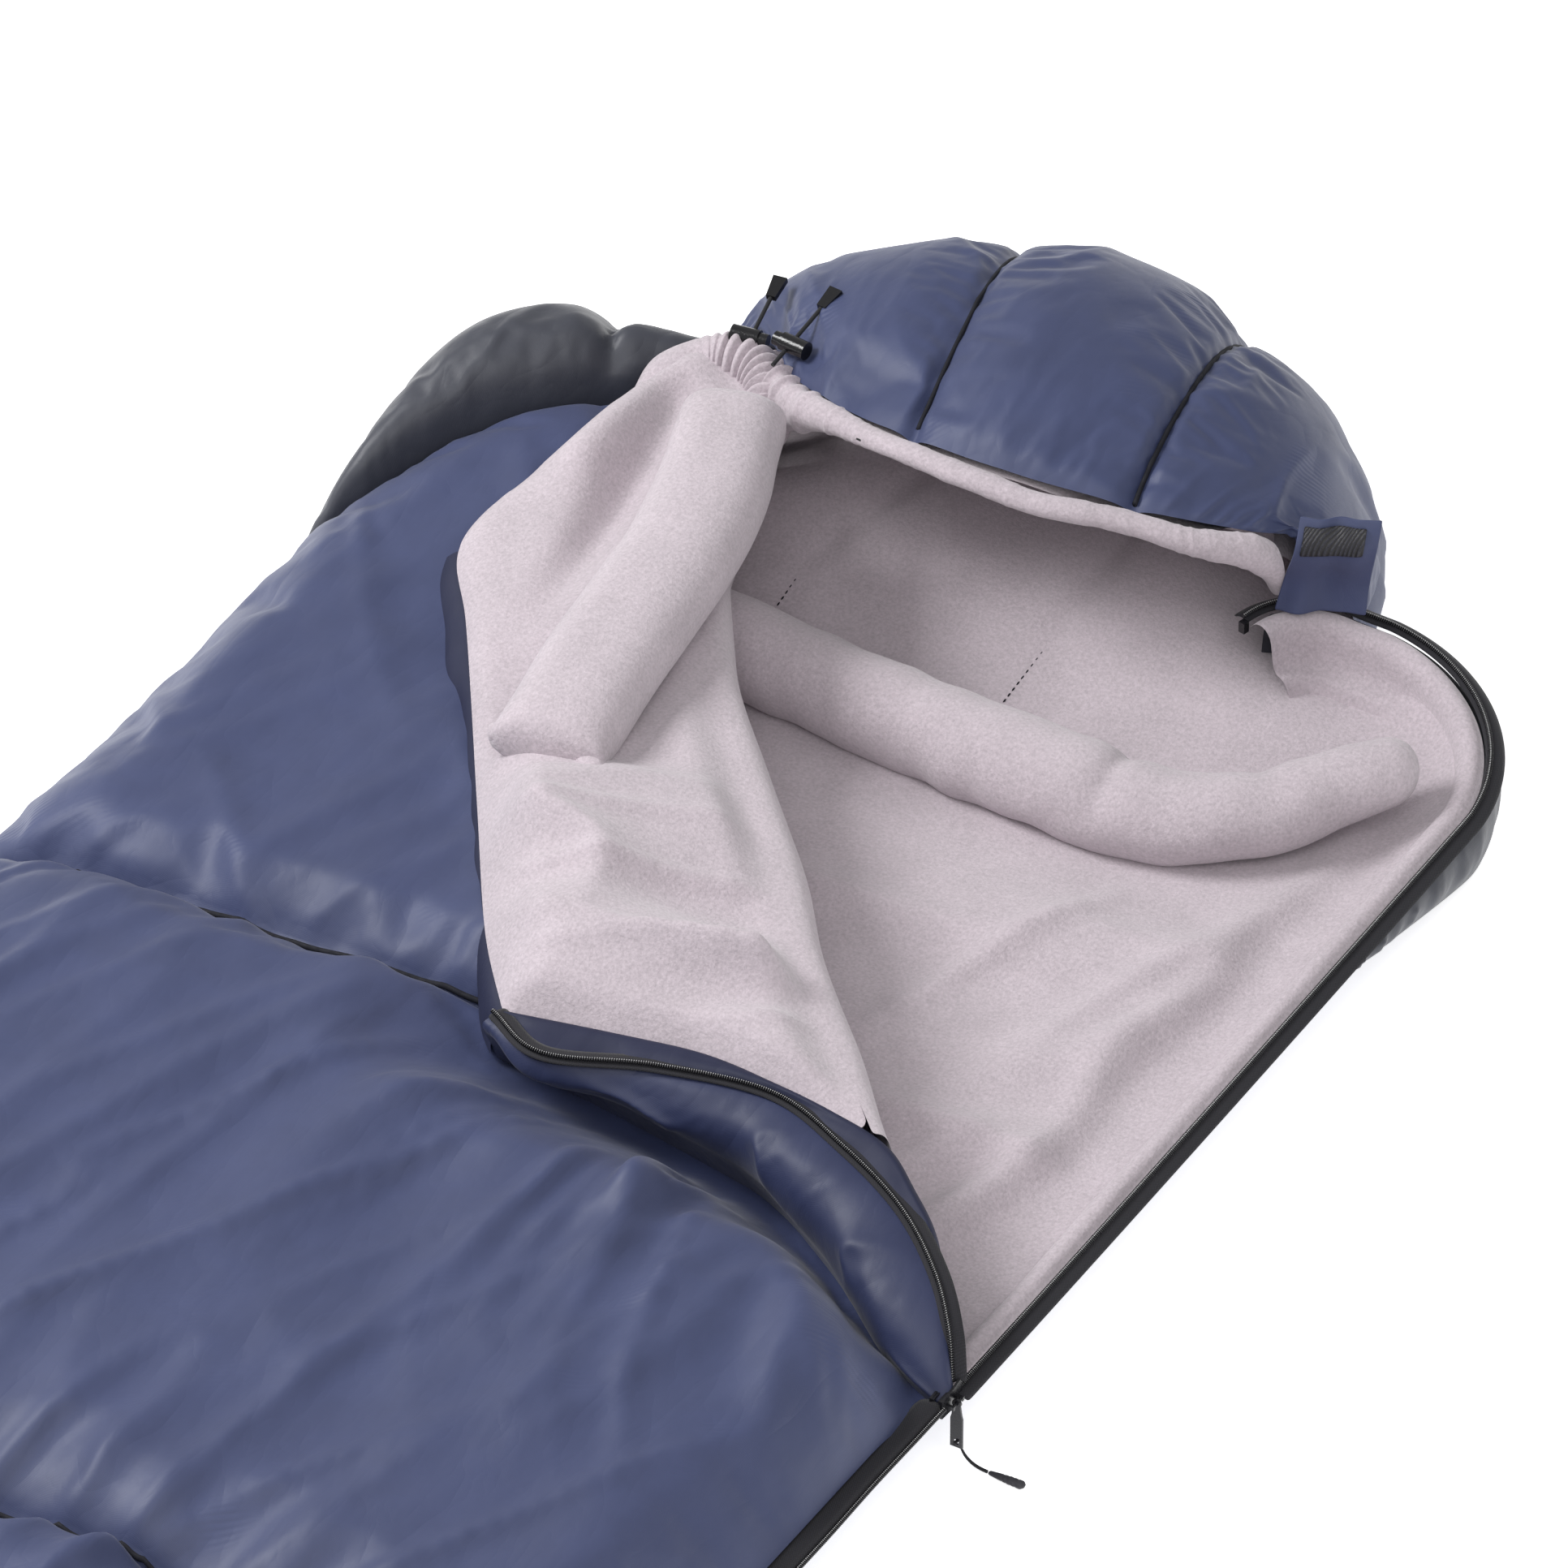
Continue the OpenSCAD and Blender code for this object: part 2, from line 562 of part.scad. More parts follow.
// Cord looped through the tab's hole and lying out along the floor to the moulded grip
cord_z = 2.6;                               // height of the cord's centre on the floor
pull_cord_r = 1.1;
cord_run = 20;
cord_side = 2.8;                            // the cord hangs beside the tab, this far along +Y
module zip_pull_cord() {
    hole = [bar_x, 0, -tab_l];
    drop = zip_z - cord_z;
    path = [for (i = [0:10]) bezier(hole + [0, cord_side, 0.3], hole + [2, cord_side, tab_l - drop],
                                   [bar_x + cord_run, cord_side, -drop], i / 10)];
    color(black) slider_frame() {
        translate(hole) along_y(pull_cord_r, -3, cord_side);
        sweep(path, oval(pull_cord_r, pull_cord_r, 8));
    }
}
module zip_pull_grip() {
    l = 25;
    w = 7;
    color("#2b2b30") slider_frame() translate([bar_x + cord_run + 0.9, cord_side, cord_z - zip_z]) {
        translate([0, -w / 2, -2.3]) cube([l - w / 2, w, 4.6]);
        translate([l - w / 2, 0, -2.3]) cylinder(r = w / 2, h = 4.6);
    }
}

// ---- hook-and-loop tab over the zip's end --------------------------------------------------

tab_hinge = [237, 835, zip_z - 4 + zip_climb + 4];
tab_turn = 30;                              // the hinge line's angle from +X
hook_tab_w = 54;
hook_tab_l = 68;
// Local frame: the hinge line along +X, the tab standing up along +Z
module tab_frame() {
    translate(tab_hinge) rotate([0, 0, tab_turn]) children();
}
module hook_tab() {
    color(navy) tab_frame() translate([-hook_tab_w / 2, 0, 0.5]) cube([hook_tab_w, 1.6, hook_tab_l]);
}
module hook_strip() {
    color(black) tab_frame() translate([-hook_tab_w / 2 + 3, -1.6, hook_tab_l - 20])
        cube([hook_tab_w - 8, 1.4, 18]);
}

// ---- drawing -------------------------------------------------------------------------------

base_outer_shell();
base_insulation();
base_lining();
base_side_wall();
shoulder_yoke();
side_seam_wall();
zip_draft_tube();
neck_tube_cover();
neck_tube_fill();
top_outer_shell();
top_insulation();
top_lining();
shoulder_pad();
flap_outer_shell();
flap_insulation();
flap_lining();
flap_zip_guard();
flap_loop_patch();
chest_tube_cover();
chest_tube_fill();
chest_tube_tab();
hood_outer_shell();
hood_insulation();
hood_lining();
hood_cord_channel();
hood_drawcord();
neck_drawcord();
cord_lock_barrel_a();
cord_lock_spring_a();
cord_lock_plunger_a();
cord_end_a();
cord_lock_barrel_b();
cord_lock_spring_b();
cord_lock_plunger_b();
cord_end_b();
zip_tape_base();
zip_coil_base();
zip_tape_top();
zip_coil_closed();
zip_coil_mouth();
zip_tape_flap();
zip_coil_flap();
zip_bottom_stop();
zip_top_stop();
zip_slider();
zip_pull_tab();
zip_pull_cord();
zip_pull_grip();
hook_tab();
hook_strip();
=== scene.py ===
"""Looks for the hooded rectangular sleeping bag: padded cloth, zip, cord hardware, light and camera.

Everything is in metres in the part's own frame: +Y from foot to head, +X the zip side, +Z up.
"""
import json
import math

import bpy
import numpy as np
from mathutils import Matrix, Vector


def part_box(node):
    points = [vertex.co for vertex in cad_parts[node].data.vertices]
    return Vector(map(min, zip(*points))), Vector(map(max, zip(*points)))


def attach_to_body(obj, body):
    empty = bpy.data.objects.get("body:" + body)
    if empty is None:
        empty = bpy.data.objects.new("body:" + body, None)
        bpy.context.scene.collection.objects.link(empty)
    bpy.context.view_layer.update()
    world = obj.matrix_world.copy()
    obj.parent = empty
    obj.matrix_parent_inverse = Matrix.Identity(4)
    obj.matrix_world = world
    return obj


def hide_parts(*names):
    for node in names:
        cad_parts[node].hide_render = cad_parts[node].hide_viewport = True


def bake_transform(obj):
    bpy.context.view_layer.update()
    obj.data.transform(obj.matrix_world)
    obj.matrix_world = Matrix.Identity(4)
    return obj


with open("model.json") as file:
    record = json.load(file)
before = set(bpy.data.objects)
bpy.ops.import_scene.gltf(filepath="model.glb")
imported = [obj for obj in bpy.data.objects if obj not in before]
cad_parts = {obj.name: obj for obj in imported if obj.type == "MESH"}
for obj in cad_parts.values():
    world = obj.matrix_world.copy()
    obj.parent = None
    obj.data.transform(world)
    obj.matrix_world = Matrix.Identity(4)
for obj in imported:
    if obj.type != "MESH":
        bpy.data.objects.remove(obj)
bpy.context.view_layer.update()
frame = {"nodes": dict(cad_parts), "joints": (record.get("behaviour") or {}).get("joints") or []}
SEED = 7

# ---- driving dimensions, some read from the frame -----------------------------------------

shell_lo, shell_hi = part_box("base_outer_shell")
HALF_W = shell_hi.x
FOOT_Y = shell_lo.y
TIP_Y = shell_hi.y
closed_lo, closed_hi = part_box("zip_coil_closed")
ZIP_X = (closed_lo.x + closed_hi.x) / 2
ZIP_Z = (closed_lo.z + closed_hi.z) / 2
ZIP_FOOT_Y = closed_lo.y
SHOULDER_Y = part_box("zip_coil_base")[1].y - 0.002
slider_lo, slider_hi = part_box("zip_slider")
SLIDER_Y = (slider_lo.y + slider_hi.y) / 2
TOP_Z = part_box("top_outer_shell")[1].z
BASE_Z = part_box("base_lining")[1].z
JOINTS = {joint["name"]: joint for joint in frame["joints"]}
FIRST_SEAM_Y = JOINTS["corner_fold"]["pos_m"][1] + 0.011
QUILT_PITCH = 0.55
QUILT_SEAMS = 3
SHOULDER_R = 0.12
FOOT_R = 0.13
CURL_R = 0.058          # radius of the zip's last turn, at the neck
ZIP_CLIMB = 0.045       # how much higher the open zip lies at the neck than at the slider
ZIP_STEP = 0.004        # spacing of the points along the zip's paths
FOLD_STEP = 0.006       # spacing of the points along the folded corner's edges
HOOD_HALF_W = 0.238
HOOD_Y = SHOULDER_Y - 0.01


# ---- numbers and shapes --------------------------------------------------------------------

class Noise:
    """Smooth repeatable noise between -1 and 1, about one bump per unit."""

    def __init__(self, seed):
        self.grid = np.random.default_rng(SEED * 1000 + seed).uniform(-1, 1, (64, 64))

    def __call__(self, x, y):
        x, y = np.broadcast_arrays(np.asarray(x, float), np.asarray(y, float))
        i, j = np.floor(x).astype(int), np.floor(y).astype(int)
        u, v = x - i, y - j
        u, v = u * u * (3 - 2 * u), v * v * (3 - 2 * v)
        g = self.grid
        a, b = g[i % 64, j % 64], g[(i + 1) % 64, j % 64]
        c, d = g[i % 64, (j + 1) % 64], g[(i + 1) % 64, (j + 1) % 64]
        return (a * (1 - u) + b * u) * (1 - v) + (c * (1 - u) + d * u) * v


def folds(x, y, turn, width, length, seed):
    """Long soft folds. turn is the angle of their length from +Y, in degrees, clockwise."""
    a = math.radians(turn)
    across = x * math.cos(a) - y * math.sin(a)
    along = x * math.sin(a) + y * math.cos(a)
    return Noise(seed)(across / width + 31, along / length + 17)


def creases(x, y, turn, width, length, seed):
    """Sharp ridges with soft valleys, 0 to 1, as in thin crumpled cloth."""
    return (1 - np.abs(folds(x, y, turn, width, length, seed))) ** 3


def smooth(t):
    """Eases from 0 to 1 as t goes from 0 to 1, and stays level beyond."""
    t = np.clip(t, 0, 1)
    return t * t * (3 - 2 * t)


def dome(d, r):
    """0 at an edge, 1 from r inwards, with a round shoulder."""
    t = 1 - np.clip(d / r, 0, 1)
    return np.sqrt(np.maximum(1 - t * t, 0))


def arc(centre, r, a0, a1, n):
    """n points on a circle, from angle a0 to a1 in degrees."""
    a = np.radians(np.linspace(a0, a1, n))
    return np.stack([centre[0] + r * np.cos(a), centre[1] + r * np.sin(a)], 1)


def resample(points, step):
    """The same open path with points every step metres."""
    p = np.asarray(points, float)
    gap = np.linalg.norm(np.diff(p, axis=0), axis=1)
    s = np.concatenate([[0], np.cumsum(gap)])
    n = max(2, int(round(s[-1] / step)) + 1)
    at = np.linspace(0, s[-1], n)
    return np.stack([np.interp(at, s, p[:, k]) for k in range(p.shape[1])], 1)


def curve(points, step):
    """A smooth path through the points (Catmull-Rom), with points every step metres."""
    p = np.asarray(points, float)
    p = np.concatenate([[2 * p[0] - p[1]], p, [2 * p[-1] - p[-2]]])
    out = []
    for a, b, c, d in zip(p[:-3], p[1:-2], p[2:-1], p[3:]):
        t = np.linspace(0, 1, 24, endpoint=False)[:, None]
        out.append(0.5 * (2 * b + (c - a) * t + (2 * a - 5 * b + 4 * c - d) * t ** 2
                          + (3 * b - a - 3 * c + d) * t ** 3))
    return resample(np.concatenate(out + [p[-2:-1]]), step)


def path_frame(path, closed=False):
    """Unit vectors along a path and to its right, level with the ground."""
    ahead = np.roll(path, -1, 0) - np.roll(path, 1, 0)
    if not closed:
        ahead[0], ahead[-1] = path[1] - path[0], path[-1] - path[-2]
    ahead /= np.linalg.norm(ahead, axis=1)[:, None]
    right = np.stack([ahead[:, 1], -ahead[:, 0], 0 * ahead[:, 0]], 1)
    right /= np.linalg.norm(right, axis=1)[:, None]
    return ahead, right


def nearest(x, y, line):
    """Distance from each point to a polyline, and how far along it (0 to 1) the nearest spot is."""
    a, b = line[:-1], line[1:]
    d = b - a
    length = np.maximum((d * d).sum(1), 1e-12)
    best = np.full(x.shape, 1e9)
    where = np.zeros(x.shape)
    for k in range(len(a)):
        t = np.clip(((x - a[k, 0]) * d[k, 0] + (y - a[k, 1]) * d[k, 1]) / length[k], 0, 1)
        gap = np.hypot(x - a[k, 0] - t * d[k, 0], y - a[k, 1] - t * d[k, 1])
        closer = gap < best
        best[closer] = gap[closer]
        where[closer] = (k + t[closer]) / len(a)
    return best, where


def inside(x, y, loop):
    """True where a point lies inside a closed outline."""
    hit = np.zeros(x.shape, bool)
    for (ax, ay), (bx, by) in zip(loop, np.roll(loop, -1, 0)):
        crosses = (ay > y) != (by > y)
        with np.errstate(divide="ignore", invalid="ignore"):
            hit ^= crosses & (x < (bx - ax) * (y - ay) / (by - ay) + ax)
    return hit


# ---- meshes --------------------------------------------------------------------------------

def make_mesh(name, verts, faces, material, smooth_level=0):
    """A smooth-shaded object with one material; smooth_level 1 also rounds off its facets."""
    mesh = bpy.data.meshes.new(name)
    mesh.from_pydata(np.asarray(verts, float).tolist(), [], [list(map(int, f)) for f in faces])
    mesh.validate()
    mesh.update()
    mesh.polygons.foreach_set("use_smooth", [True] * len(mesh.polygons))
    mesh.materials.append(material)
    obj = bpy.data.objects.new(name, mesh)
    bpy.context.scene.collection.objects.link(obj)
    if smooth_level:
        round_off(obj)
    return obj


def round_off(obj):
    """Smooths a mesh's facets away."""
    sub = obj.modifiers.new("smooth", "SUBSURF")
    sub.levels = sub.render_levels = 1


def thicken(obj, thickness):
    """Gives a sheet of cloth two sides."""
    solid = obj.modifiers.new("thickness", "SOLIDIFY")
    solid.thickness = thickness
    solid.offset = 0


def place(obj, slot, body, *nodes):
    """Hides the CAD nodes a finished piece stands for and attaches it to the body it rides; slot is not
    used.
    """
    if nodes:
        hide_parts(*nodes)
    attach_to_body(obj, body)


def grid_faces(rows, cols, wrap=False):
    i, j = np.meshgrid(np.arange(rows - 1), np.arange(cols if wrap else cols - 1), indexing="ij")
    k = (j + 1) % cols
    return np.stack([i * cols + j, i * cols + k, (i + 1) * cols + k, (i + 1) * cols + j],
                    -1).reshape(-1, 4)


def sheet(name, points, material, level=0, flip=False):
    """A surface from a grid of points (rows, columns, 3)."""
    rows, cols = points.shape[:2]
    faces = grid_faces(rows, cols)
    if flip:
        faces = faces[:, ::-1]
    return make_mesh(name, points.reshape(-1, 3), faces, material, level)


def tube(name, path, radius_x, radius_z, material, sides=24, level=0, shape=None):
    """A closed tube round a path. Radii may be arrays, one value per path point."""
    path = np.asarray(path, float)
    _, right = path_frame(path)
    rx, rz = np.broadcast_to(radius_x, len(path)), np.broadcast_to(radius_z, len(path))
    a = np.linspace(0, 2 * math.pi, sides, endpoint=False)
    points = (path[:, None] + rx[:, None, None] * np.cos(a)[None, :, None] * right[:, None]
              + rz[:, None, None] * np.sin(a)[None, :, None] * np.array([0, 0, 1.0]))
    if shape is not None:
        points = shape(points, a)
    faces = grid_faces(len(path), sides, wrap=True).tolist()
    faces.append(list(range(sides))[::-1])
    faces.append([(len(path) - 1) * sides + k for k in range(sides)])
    return make_mesh(name, points.reshape(-1, 3), faces, material, level)


class Region:
    """A flat field of points clipped to a closed outline, ready to be lifted to a height."""

    def __init__(self, outline, step):
        self.outline = resample(np.concatenate([outline, outline[:1]]), step)[:-1]
        lo, hi = self.outline.min(0), self.outline.max(0)
        nx, ny = (np.ceil((hi - lo) / step) + 1).astype(int)
        gx, gy = np.meshgrid(lo[0] + np.arange(nx) * step, lo[1] + np.arange(ny) * step)
        # the squares whose middle lies inside the outline
        middle = inside((gx[:-1, :-1] + step / 2), (gy[:-1, :-1] + step / 2), self.outline)
        i, j = np.nonzero(middle)
        quads = np.stack([i * nx + j, i * nx + j + 1, (i + 1) * nx + j + 1, (i + 1) * nx + j], 1)
        used, back = np.unique(quads, return_inverse=True)
        self.faces = back.reshape(quads.shape)
        self.x, self.y = gx.ravel()[used], gy.ravel()[used]
        # points with fewer than four squares round them are moved on to the outline
        loop = np.concatenate([self.outline, self.outline[:1]])
        count = np.bincount(self.faces.ravel(), minlength=len(used))
        rim = count < 4
        _, t = nearest(self.x[rim], self.y[rim], loop)
        spot = t * (len(loop) - 1)
        k = np.minimum(spot.astype(int), len(loop) - 2)
        snapped = loop[k] + (loop[k + 1] - loop[k]) * (spot - k)[:, None]
        self.x[rim], self.y[rim] = snapped[:, 0], snapped[:, 1]
        self.rim = rim
        self.d = nearest(self.x, self.y, loop)[0]

    def lift(self, name, z, material, level=0):
        """The field as a mesh, each point at its own height z."""
        verts = np.stack([self.x, self.y, z], 1)
        return make_mesh(name, verts, self.faces, material, level)


def join(name, *objs):
    """Joins objects into the first, which takes the new name."""
    bpy.ops.object.select_all(action="DESELECT")
    for o in objs:
        o.select_set(True)
    bpy.context.view_layer.objects.active = objs[0]
    bpy.ops.object.join()
    objs[0].name = name
    objs[0].data.name = name
    return objs[0]


def settle(obj, pinned, pressure, growth, cap):
    """Inflates padded cloth with a short cloth simulation between its pinned points, then applies it.

    growth is how much bigger the cloth is than the space it's sewn into, which is what makes it pucker.
    cap is the furthest that any point may move.
    """
    frames = 12
    stiffness = 12
    before = np.array([v.co for v in obj.data.vertices])
    group = obj.vertex_groups.new(name="pinned")
    group.add([int(k) for k in np.nonzero(pinned)[0]], 1.0, "REPLACE")
    cloth = obj.modifiers.new("cloth", "CLOTH")
    s = cloth.settings
    s.quality = 5
    s.mass = 0.15
    s.tension_stiffness = s.compression_stiffness = stiffness
    s.shear_stiffness = stiffness / 3
    s.bending_stiffness = 0.3
    s.use_pressure = True
    s.uniform_pressure_force = pressure
    s.shrink_min = s.shrink_max = -growth
    s.vertex_group_mass = "pinned"
    s.effector_weights.gravity = 0
    cloth.collision_settings.use_collision = False
    cloth.collision_settings.use_self_collision = False
    cloth.point_cache.frame_start = 1
    cloth.point_cache.frame_end = frames
    scene = bpy.context.scene
    for f in range(1, frames + 1):
        scene.frame_set(f)
    shape = obj.evaluated_get(bpy.context.evaluated_depsgraph_get())
    after = np.array([v.co for v in shape.data.vertices][:len(before)])
    obj.modifiers.remove(cloth)
    scene.frame_set(1)
    move = after - before
    size = np.linalg.norm(move, axis=1)[:, None]
    move *= np.minimum(1, cap / np.maximum(size, 1e-9))
    obj.data.vertices.foreach_set("co", (before + move).ravel())
    obj.data.update()


# ---- materials -----------------------------------------------------------------------------

def srgb(r, g, b):
    """A colour given in 0-255 display values, as linear light."""
    linear = [((c / 255 + 0.055) / 1.055) ** 2.4 if c > 10 else c / 3294 for c in (r, g, b)]
    return (*linear, 1.0)


class Shader:
    """A small node-tree builder for one Principled material that reads object coordinates."""

    def __init__(self, name, **settings):
        self.material = bpy.data.materials.new(name)
        self.material.use_nodes = True
        self.tree = self.material.node_tree
        self.surface = self.tree.nodes["Principled BSDF"]
        for key, value in settings.items():
            self.surface.inputs[key.replace("_", " ")].default_value = value
        self.place = self.node("ShaderNodeTexCoord").outputs["Object"]
        self.height = None

    def node(self, kind, **settings):
        made = self.tree.nodes.new(kind)
        for key, value in settings.items():
            if hasattr(made, key):
                setattr(made, key, value)
            else:
                self.feed(made, key, value)
        return made

    def feed(self, node, socket, value):
        if isinstance(value, bpy.types.NodeSocket):
            self.tree.links.new(value, node.inputs[socket])
        else:
            node.inputs[socket].default_value = value

    def noise(self, scale, detail=2.0, roughness=0.5, stretch=(1, 1, 1)):
        mapping = self.node("ShaderNodeMapping", Vector=self.place, Scale=stretch)
        made = self.node("ShaderNodeTexNoise", Vector=mapping.outputs[0], Scale=scale,
                         Detail=detail, Roughness=roughness)
        return made.outputs[0]

    def threads(self, pitch, turn=0.0):
        """Fine parallel ribs, pitch metres apart, turned about Z."""
        mapping = self.node("ShaderNodeMapping", Vector=self.place, Rotation=(0, 0, turn))
        made = self.node("ShaderNodeTexWave", Vector=mapping.outputs[0], Scale=0.314 / pitch)
        return made.outputs["Fac"]

    def math(self, operation, a, b=0.0):
        made = self.node("ShaderNodeMath", operation=operation)
        self.feed(made, 0, a)
        self.feed(made, 1, b)
        return made.outputs[0]

    def ramp(self, value, low, high, dark, light):
        """Blends from the dark colour to the light one as value goes from low to high."""
        made = self.node("ShaderNodeValToRGB")
        self.feed(made, 0, value)
        made.color_ramp.elements[0].position = low
        made.color_ramp.elements[0].color = dark
        made.color_ramp.elements[1].position = high
        made.color_ramp.elements[1].color = light
        return made.outputs[0]

    def colour(self, value):
        self.feed(self.surface, "Base Color", value)

    def bump(self, height, distance, strength=1.0):
        """Adds relief on top of any relief already there. distance is in metres."""
        made = self.node("ShaderNodeBump", Strength=strength, Distance=distance, Height=height)
        if self.height:
            self.feed(made, "Normal", self.height)
        self.height = made.outputs[0]
        self.feed(self.surface, "Normal", self.height)

    def rough(self, value, low, high):
        made = self.node("ShaderNodeMapRange")
        self.feed(made, "Value", value)
        self.feed(made, "To Min", low)
        self.feed(made, "To Max", high)
        self.feed(self.surface, "Roughness", made.outputs[0])


def scaled(colour, k):
    """The same colour, k times as bright."""
    return (colour[0] * k, colour[1] * k, colour[2] * k, 1.0)


def shell_cloth(name, colour, roughness=0.52, sheen=0.1):
    """Tightly woven down-proof polyester: satin, with a fine weave and sharp little crinkles."""
    s = Shader(name, Roughness=roughness, Sheen_Weight=sheen, Sheen_Roughness=0.4)
    mottle = s.noise(14.0, 4.0, 0.6)
    s.colour(s.ramp(mottle, 0.3, 0.75, scaled(colour, 0.9), scaled(colour, 1.1)))
    s.rough(s.noise(35.0, 3.0), roughness - 0.06, roughness + 0.1)
    for scale, stretch, depth in ((8.0, (1.0, 0.3, 0.8), 0.0100), (22.0, (1.0, 0.35, 0.8), 0.0045),
                                  (55.0, (1.0, 0.4, 0.8), 0.0015)):
        ridge = s.math("ABSOLUTE", s.math("SUBTRACT", s.noise(scale, 2.0, 0.45, stretch), 0.5))
        s.bump(s.math("POWER", ridge, 0.8), depth, 0.4)
    patches = s.math("MAXIMUM", s.math("SUBTRACT", s.noise(14.0, 1.0), 0.60), 0.0)
    s.bump(s.math("MULTIPLY", s.threads(0.0040, 0.9), patches), 0.0022, 0.5)
    s.bump(s.noise(60.0, 3.0, 0.55, (1, 0.5, 1)), 0.0009, 0.35)
    s.bump(s.math("ADD", s.threads(0.0006), s.threads(0.0006, math.pi / 2)), 0.00004, 0.5)
    return s.material


def fleece_cloth(name, colour):
    """Brushed polyester fleece: matt, fuzzy, with small pills and soft mottling."""
    s = Shader(name, Roughness=1.0, Sheen_Weight=0.35, Sheen_Roughness=0.6)
    s.surface.inputs["Specular IOR Level"].default_value = 0.1
    pile = s.noise(430.0, 3.0, 0.65)
    broad = s.noise(22.0, 3.0, 0.5)
    mixed = s.math("ADD", s.math("MULTIPLY", pile, 0.75), s.math("MULTIPLY", broad, 0.25))
    s.colour(s.ramp(mixed, 0.34, 0.66, scaled(colour, 0.8), scaled(colour, 1.12)))
    s.bump(s.noise(60.0, 2.0), 0.0015, 0.25)
    s.bump(s.noise(330.0, 4.0, 0.7), 0.0011, 0.75)
    return s.material


def tape_cloth(name, colour):
    """Woven zip tape: matt, with a visible herringbone rib."""
    s = Shader(name, Roughness=0.8, Sheen_Weight=0.1)
    ribs = s.math("MULTIPLY", s.threads(0.0011, 0.7), s.threads(0.0011, -0.7))
    s.colour(s.ramp(ribs, 0.2, 0.8, scaled(colour, 0.6), scaled(colour, 1.5)))
    s.bump(ribs, 0.0002, 0.6)
    return s.material


def moulding(name, colour, roughness, grain=0.0003):
    """Moulded plastic or paint: even colour with faint grain."""
    s = Shader(name, Roughness=roughness)
    s.colour(s.ramp(s.noise(500.0, 2.0), 0.3, 0.8, scaled(colour, 0.85), scaled(colour, 1.25)))
    s.rough(s.noise(220.0, 3.0), roughness * 0.8, roughness * 1.3)
    s.bump(s.noise(900.0, 2.0), grain, 0.4)
    return s.material


def hook_cloth(name, colour):
    """Hook strip: rows of stiff bristles, coloured darker between the rows as painted shade and brighter
    on the tufts as painted glints.
    """
    s = Shader(name, Roughness=0.4)
    rows = s.threads(0.0016, 0.52)
    tufts = s.noise(900.0, 2.0, 0.7)
    fuzz = s.math("MULTIPLY", rows, tufts)
    # painted shade and glints: darker between the bristle rows, up to five times brighter on the tufts
    s.colour(s.ramp(fuzz, 0.15, 0.6, scaled(colour, 0.4), scaled(colour, 5.0)))
    s.bump(fuzz, 0.0012, 1.0)
    return s.material


def metal(name, colour, roughness):
    """Bare metal with faint mottling."""
    s = Shader(name, Roughness=roughness, Metallic=1.0)
    s.colour(s.ramp(s.noise(300.0, 2.0), 0.3, 0.8, scaled(colour, 0.8), scaled(colour, 1.1)))
    s.rough(s.noise(500.0, 3.0), roughness * 0.7, roughness * 1.5)
    return s.material


NAVY = shell_cloth("navy_shell", srgb(58, 66, 100))
# a darker copy of the navy shell: painted shade for the mouth's lip, which is the same cloth
NAVY_LIP_SHADE = shell_cloth("navy_lip_painted_shade", srgb(40, 47, 79))
# a darker copy of the navy shell: painted shade for the guard strips, which are the same navy cloth
NAVY_GUARD_SHADE = shell_cloth("navy_guard_painted_shade", srgb(24, 29, 58), 0.65, 0.0)
CHARCOAL = shell_cloth("charcoal_shell", srgb(60, 62, 71), 0.46)
FLEECE = fleece_cloth("grey_fleece", srgb(187, 176, 183))
TAPE = tape_cloth("zip_tape", srgb(27, 26, 34))
COIL = moulding("zip_coil", srgb(22, 22, 26), 0.25)
STITCH = moulding("pale_stitch", srgb(190, 190, 190), 0.6)
# near-black thread: partly real stitching, partly painted shade of the sunk seams it lies in
STITCH_AND_SEAM_SHADE = moulding("stitch_and_seam_shade", srgb(12, 13, 24), 0.8)
PLASTIC = moulding("black_moulding", srgb(20, 20, 23), 0.18)
RUBBER = moulding("grip_rubber", srgb(52, 51, 56), 0.62, 0.0006)
PAINT = moulding("black_enamel", srgb(24, 24, 28), 0.22)
CORD = tape_cloth("drawcord", srgb(24, 24, 28))
HOOK = hook_cloth("hook_strip", srgb(20, 20, 26))
LOOP = fleece_cloth("loop_patch", srgb(26, 26, 32))
STEEL = metal("spring_steel", srgb(190, 190, 195), 0.3)


# ---- base panel ----------------------------------------------------------------------------

def zip_line():
    """The open zip's coil on the base panel: up the side, round the shoulder, curled in at the neck."""
    centre = np.array([ZIP_X - SHOULDER_R, SHOULDER_Y - SHOULDER_R])
    start = np.array([[ZIP_X, SLIDER_Y + 0.008]])
    parts = [resample(np.concatenate([start, [[ZIP_X, centre[1]]]]), 0.02),
             arc(centre, SHOULDER_R, 3, 90, 30),
             arc(centre + [-0.02, SHOULDER_R - CURL_R], CURL_R, 92, 172, 24)]
    share = [np.linspace(0, 0.28, len(parts[0])), np.linspace(0.285, 0.72, len(parts[1])),
             np.linspace(0.73, 1, len(parts[2]))]
    rise = smooth(np.concatenate(share)) * ZIP_CLIMB
    plan = np.concatenate(parts)
    return resample(np.column_stack([plan, ZIP_Z - 0.004 + rise]), ZIP_STEP)


def swept(path, section):
    """Points of a strip swept along a path. A section is (distance to the right, height) pairs,
    one list for the whole path or one per path point."""
    _, right = path_frame(path)
    section = np.broadcast_to(section, (len(path),) + np.shape(section)[-2:])
    points = path[:, None] + section[..., :1] * right[:, None]
    points[..., 2] += section[..., 1]
    return points


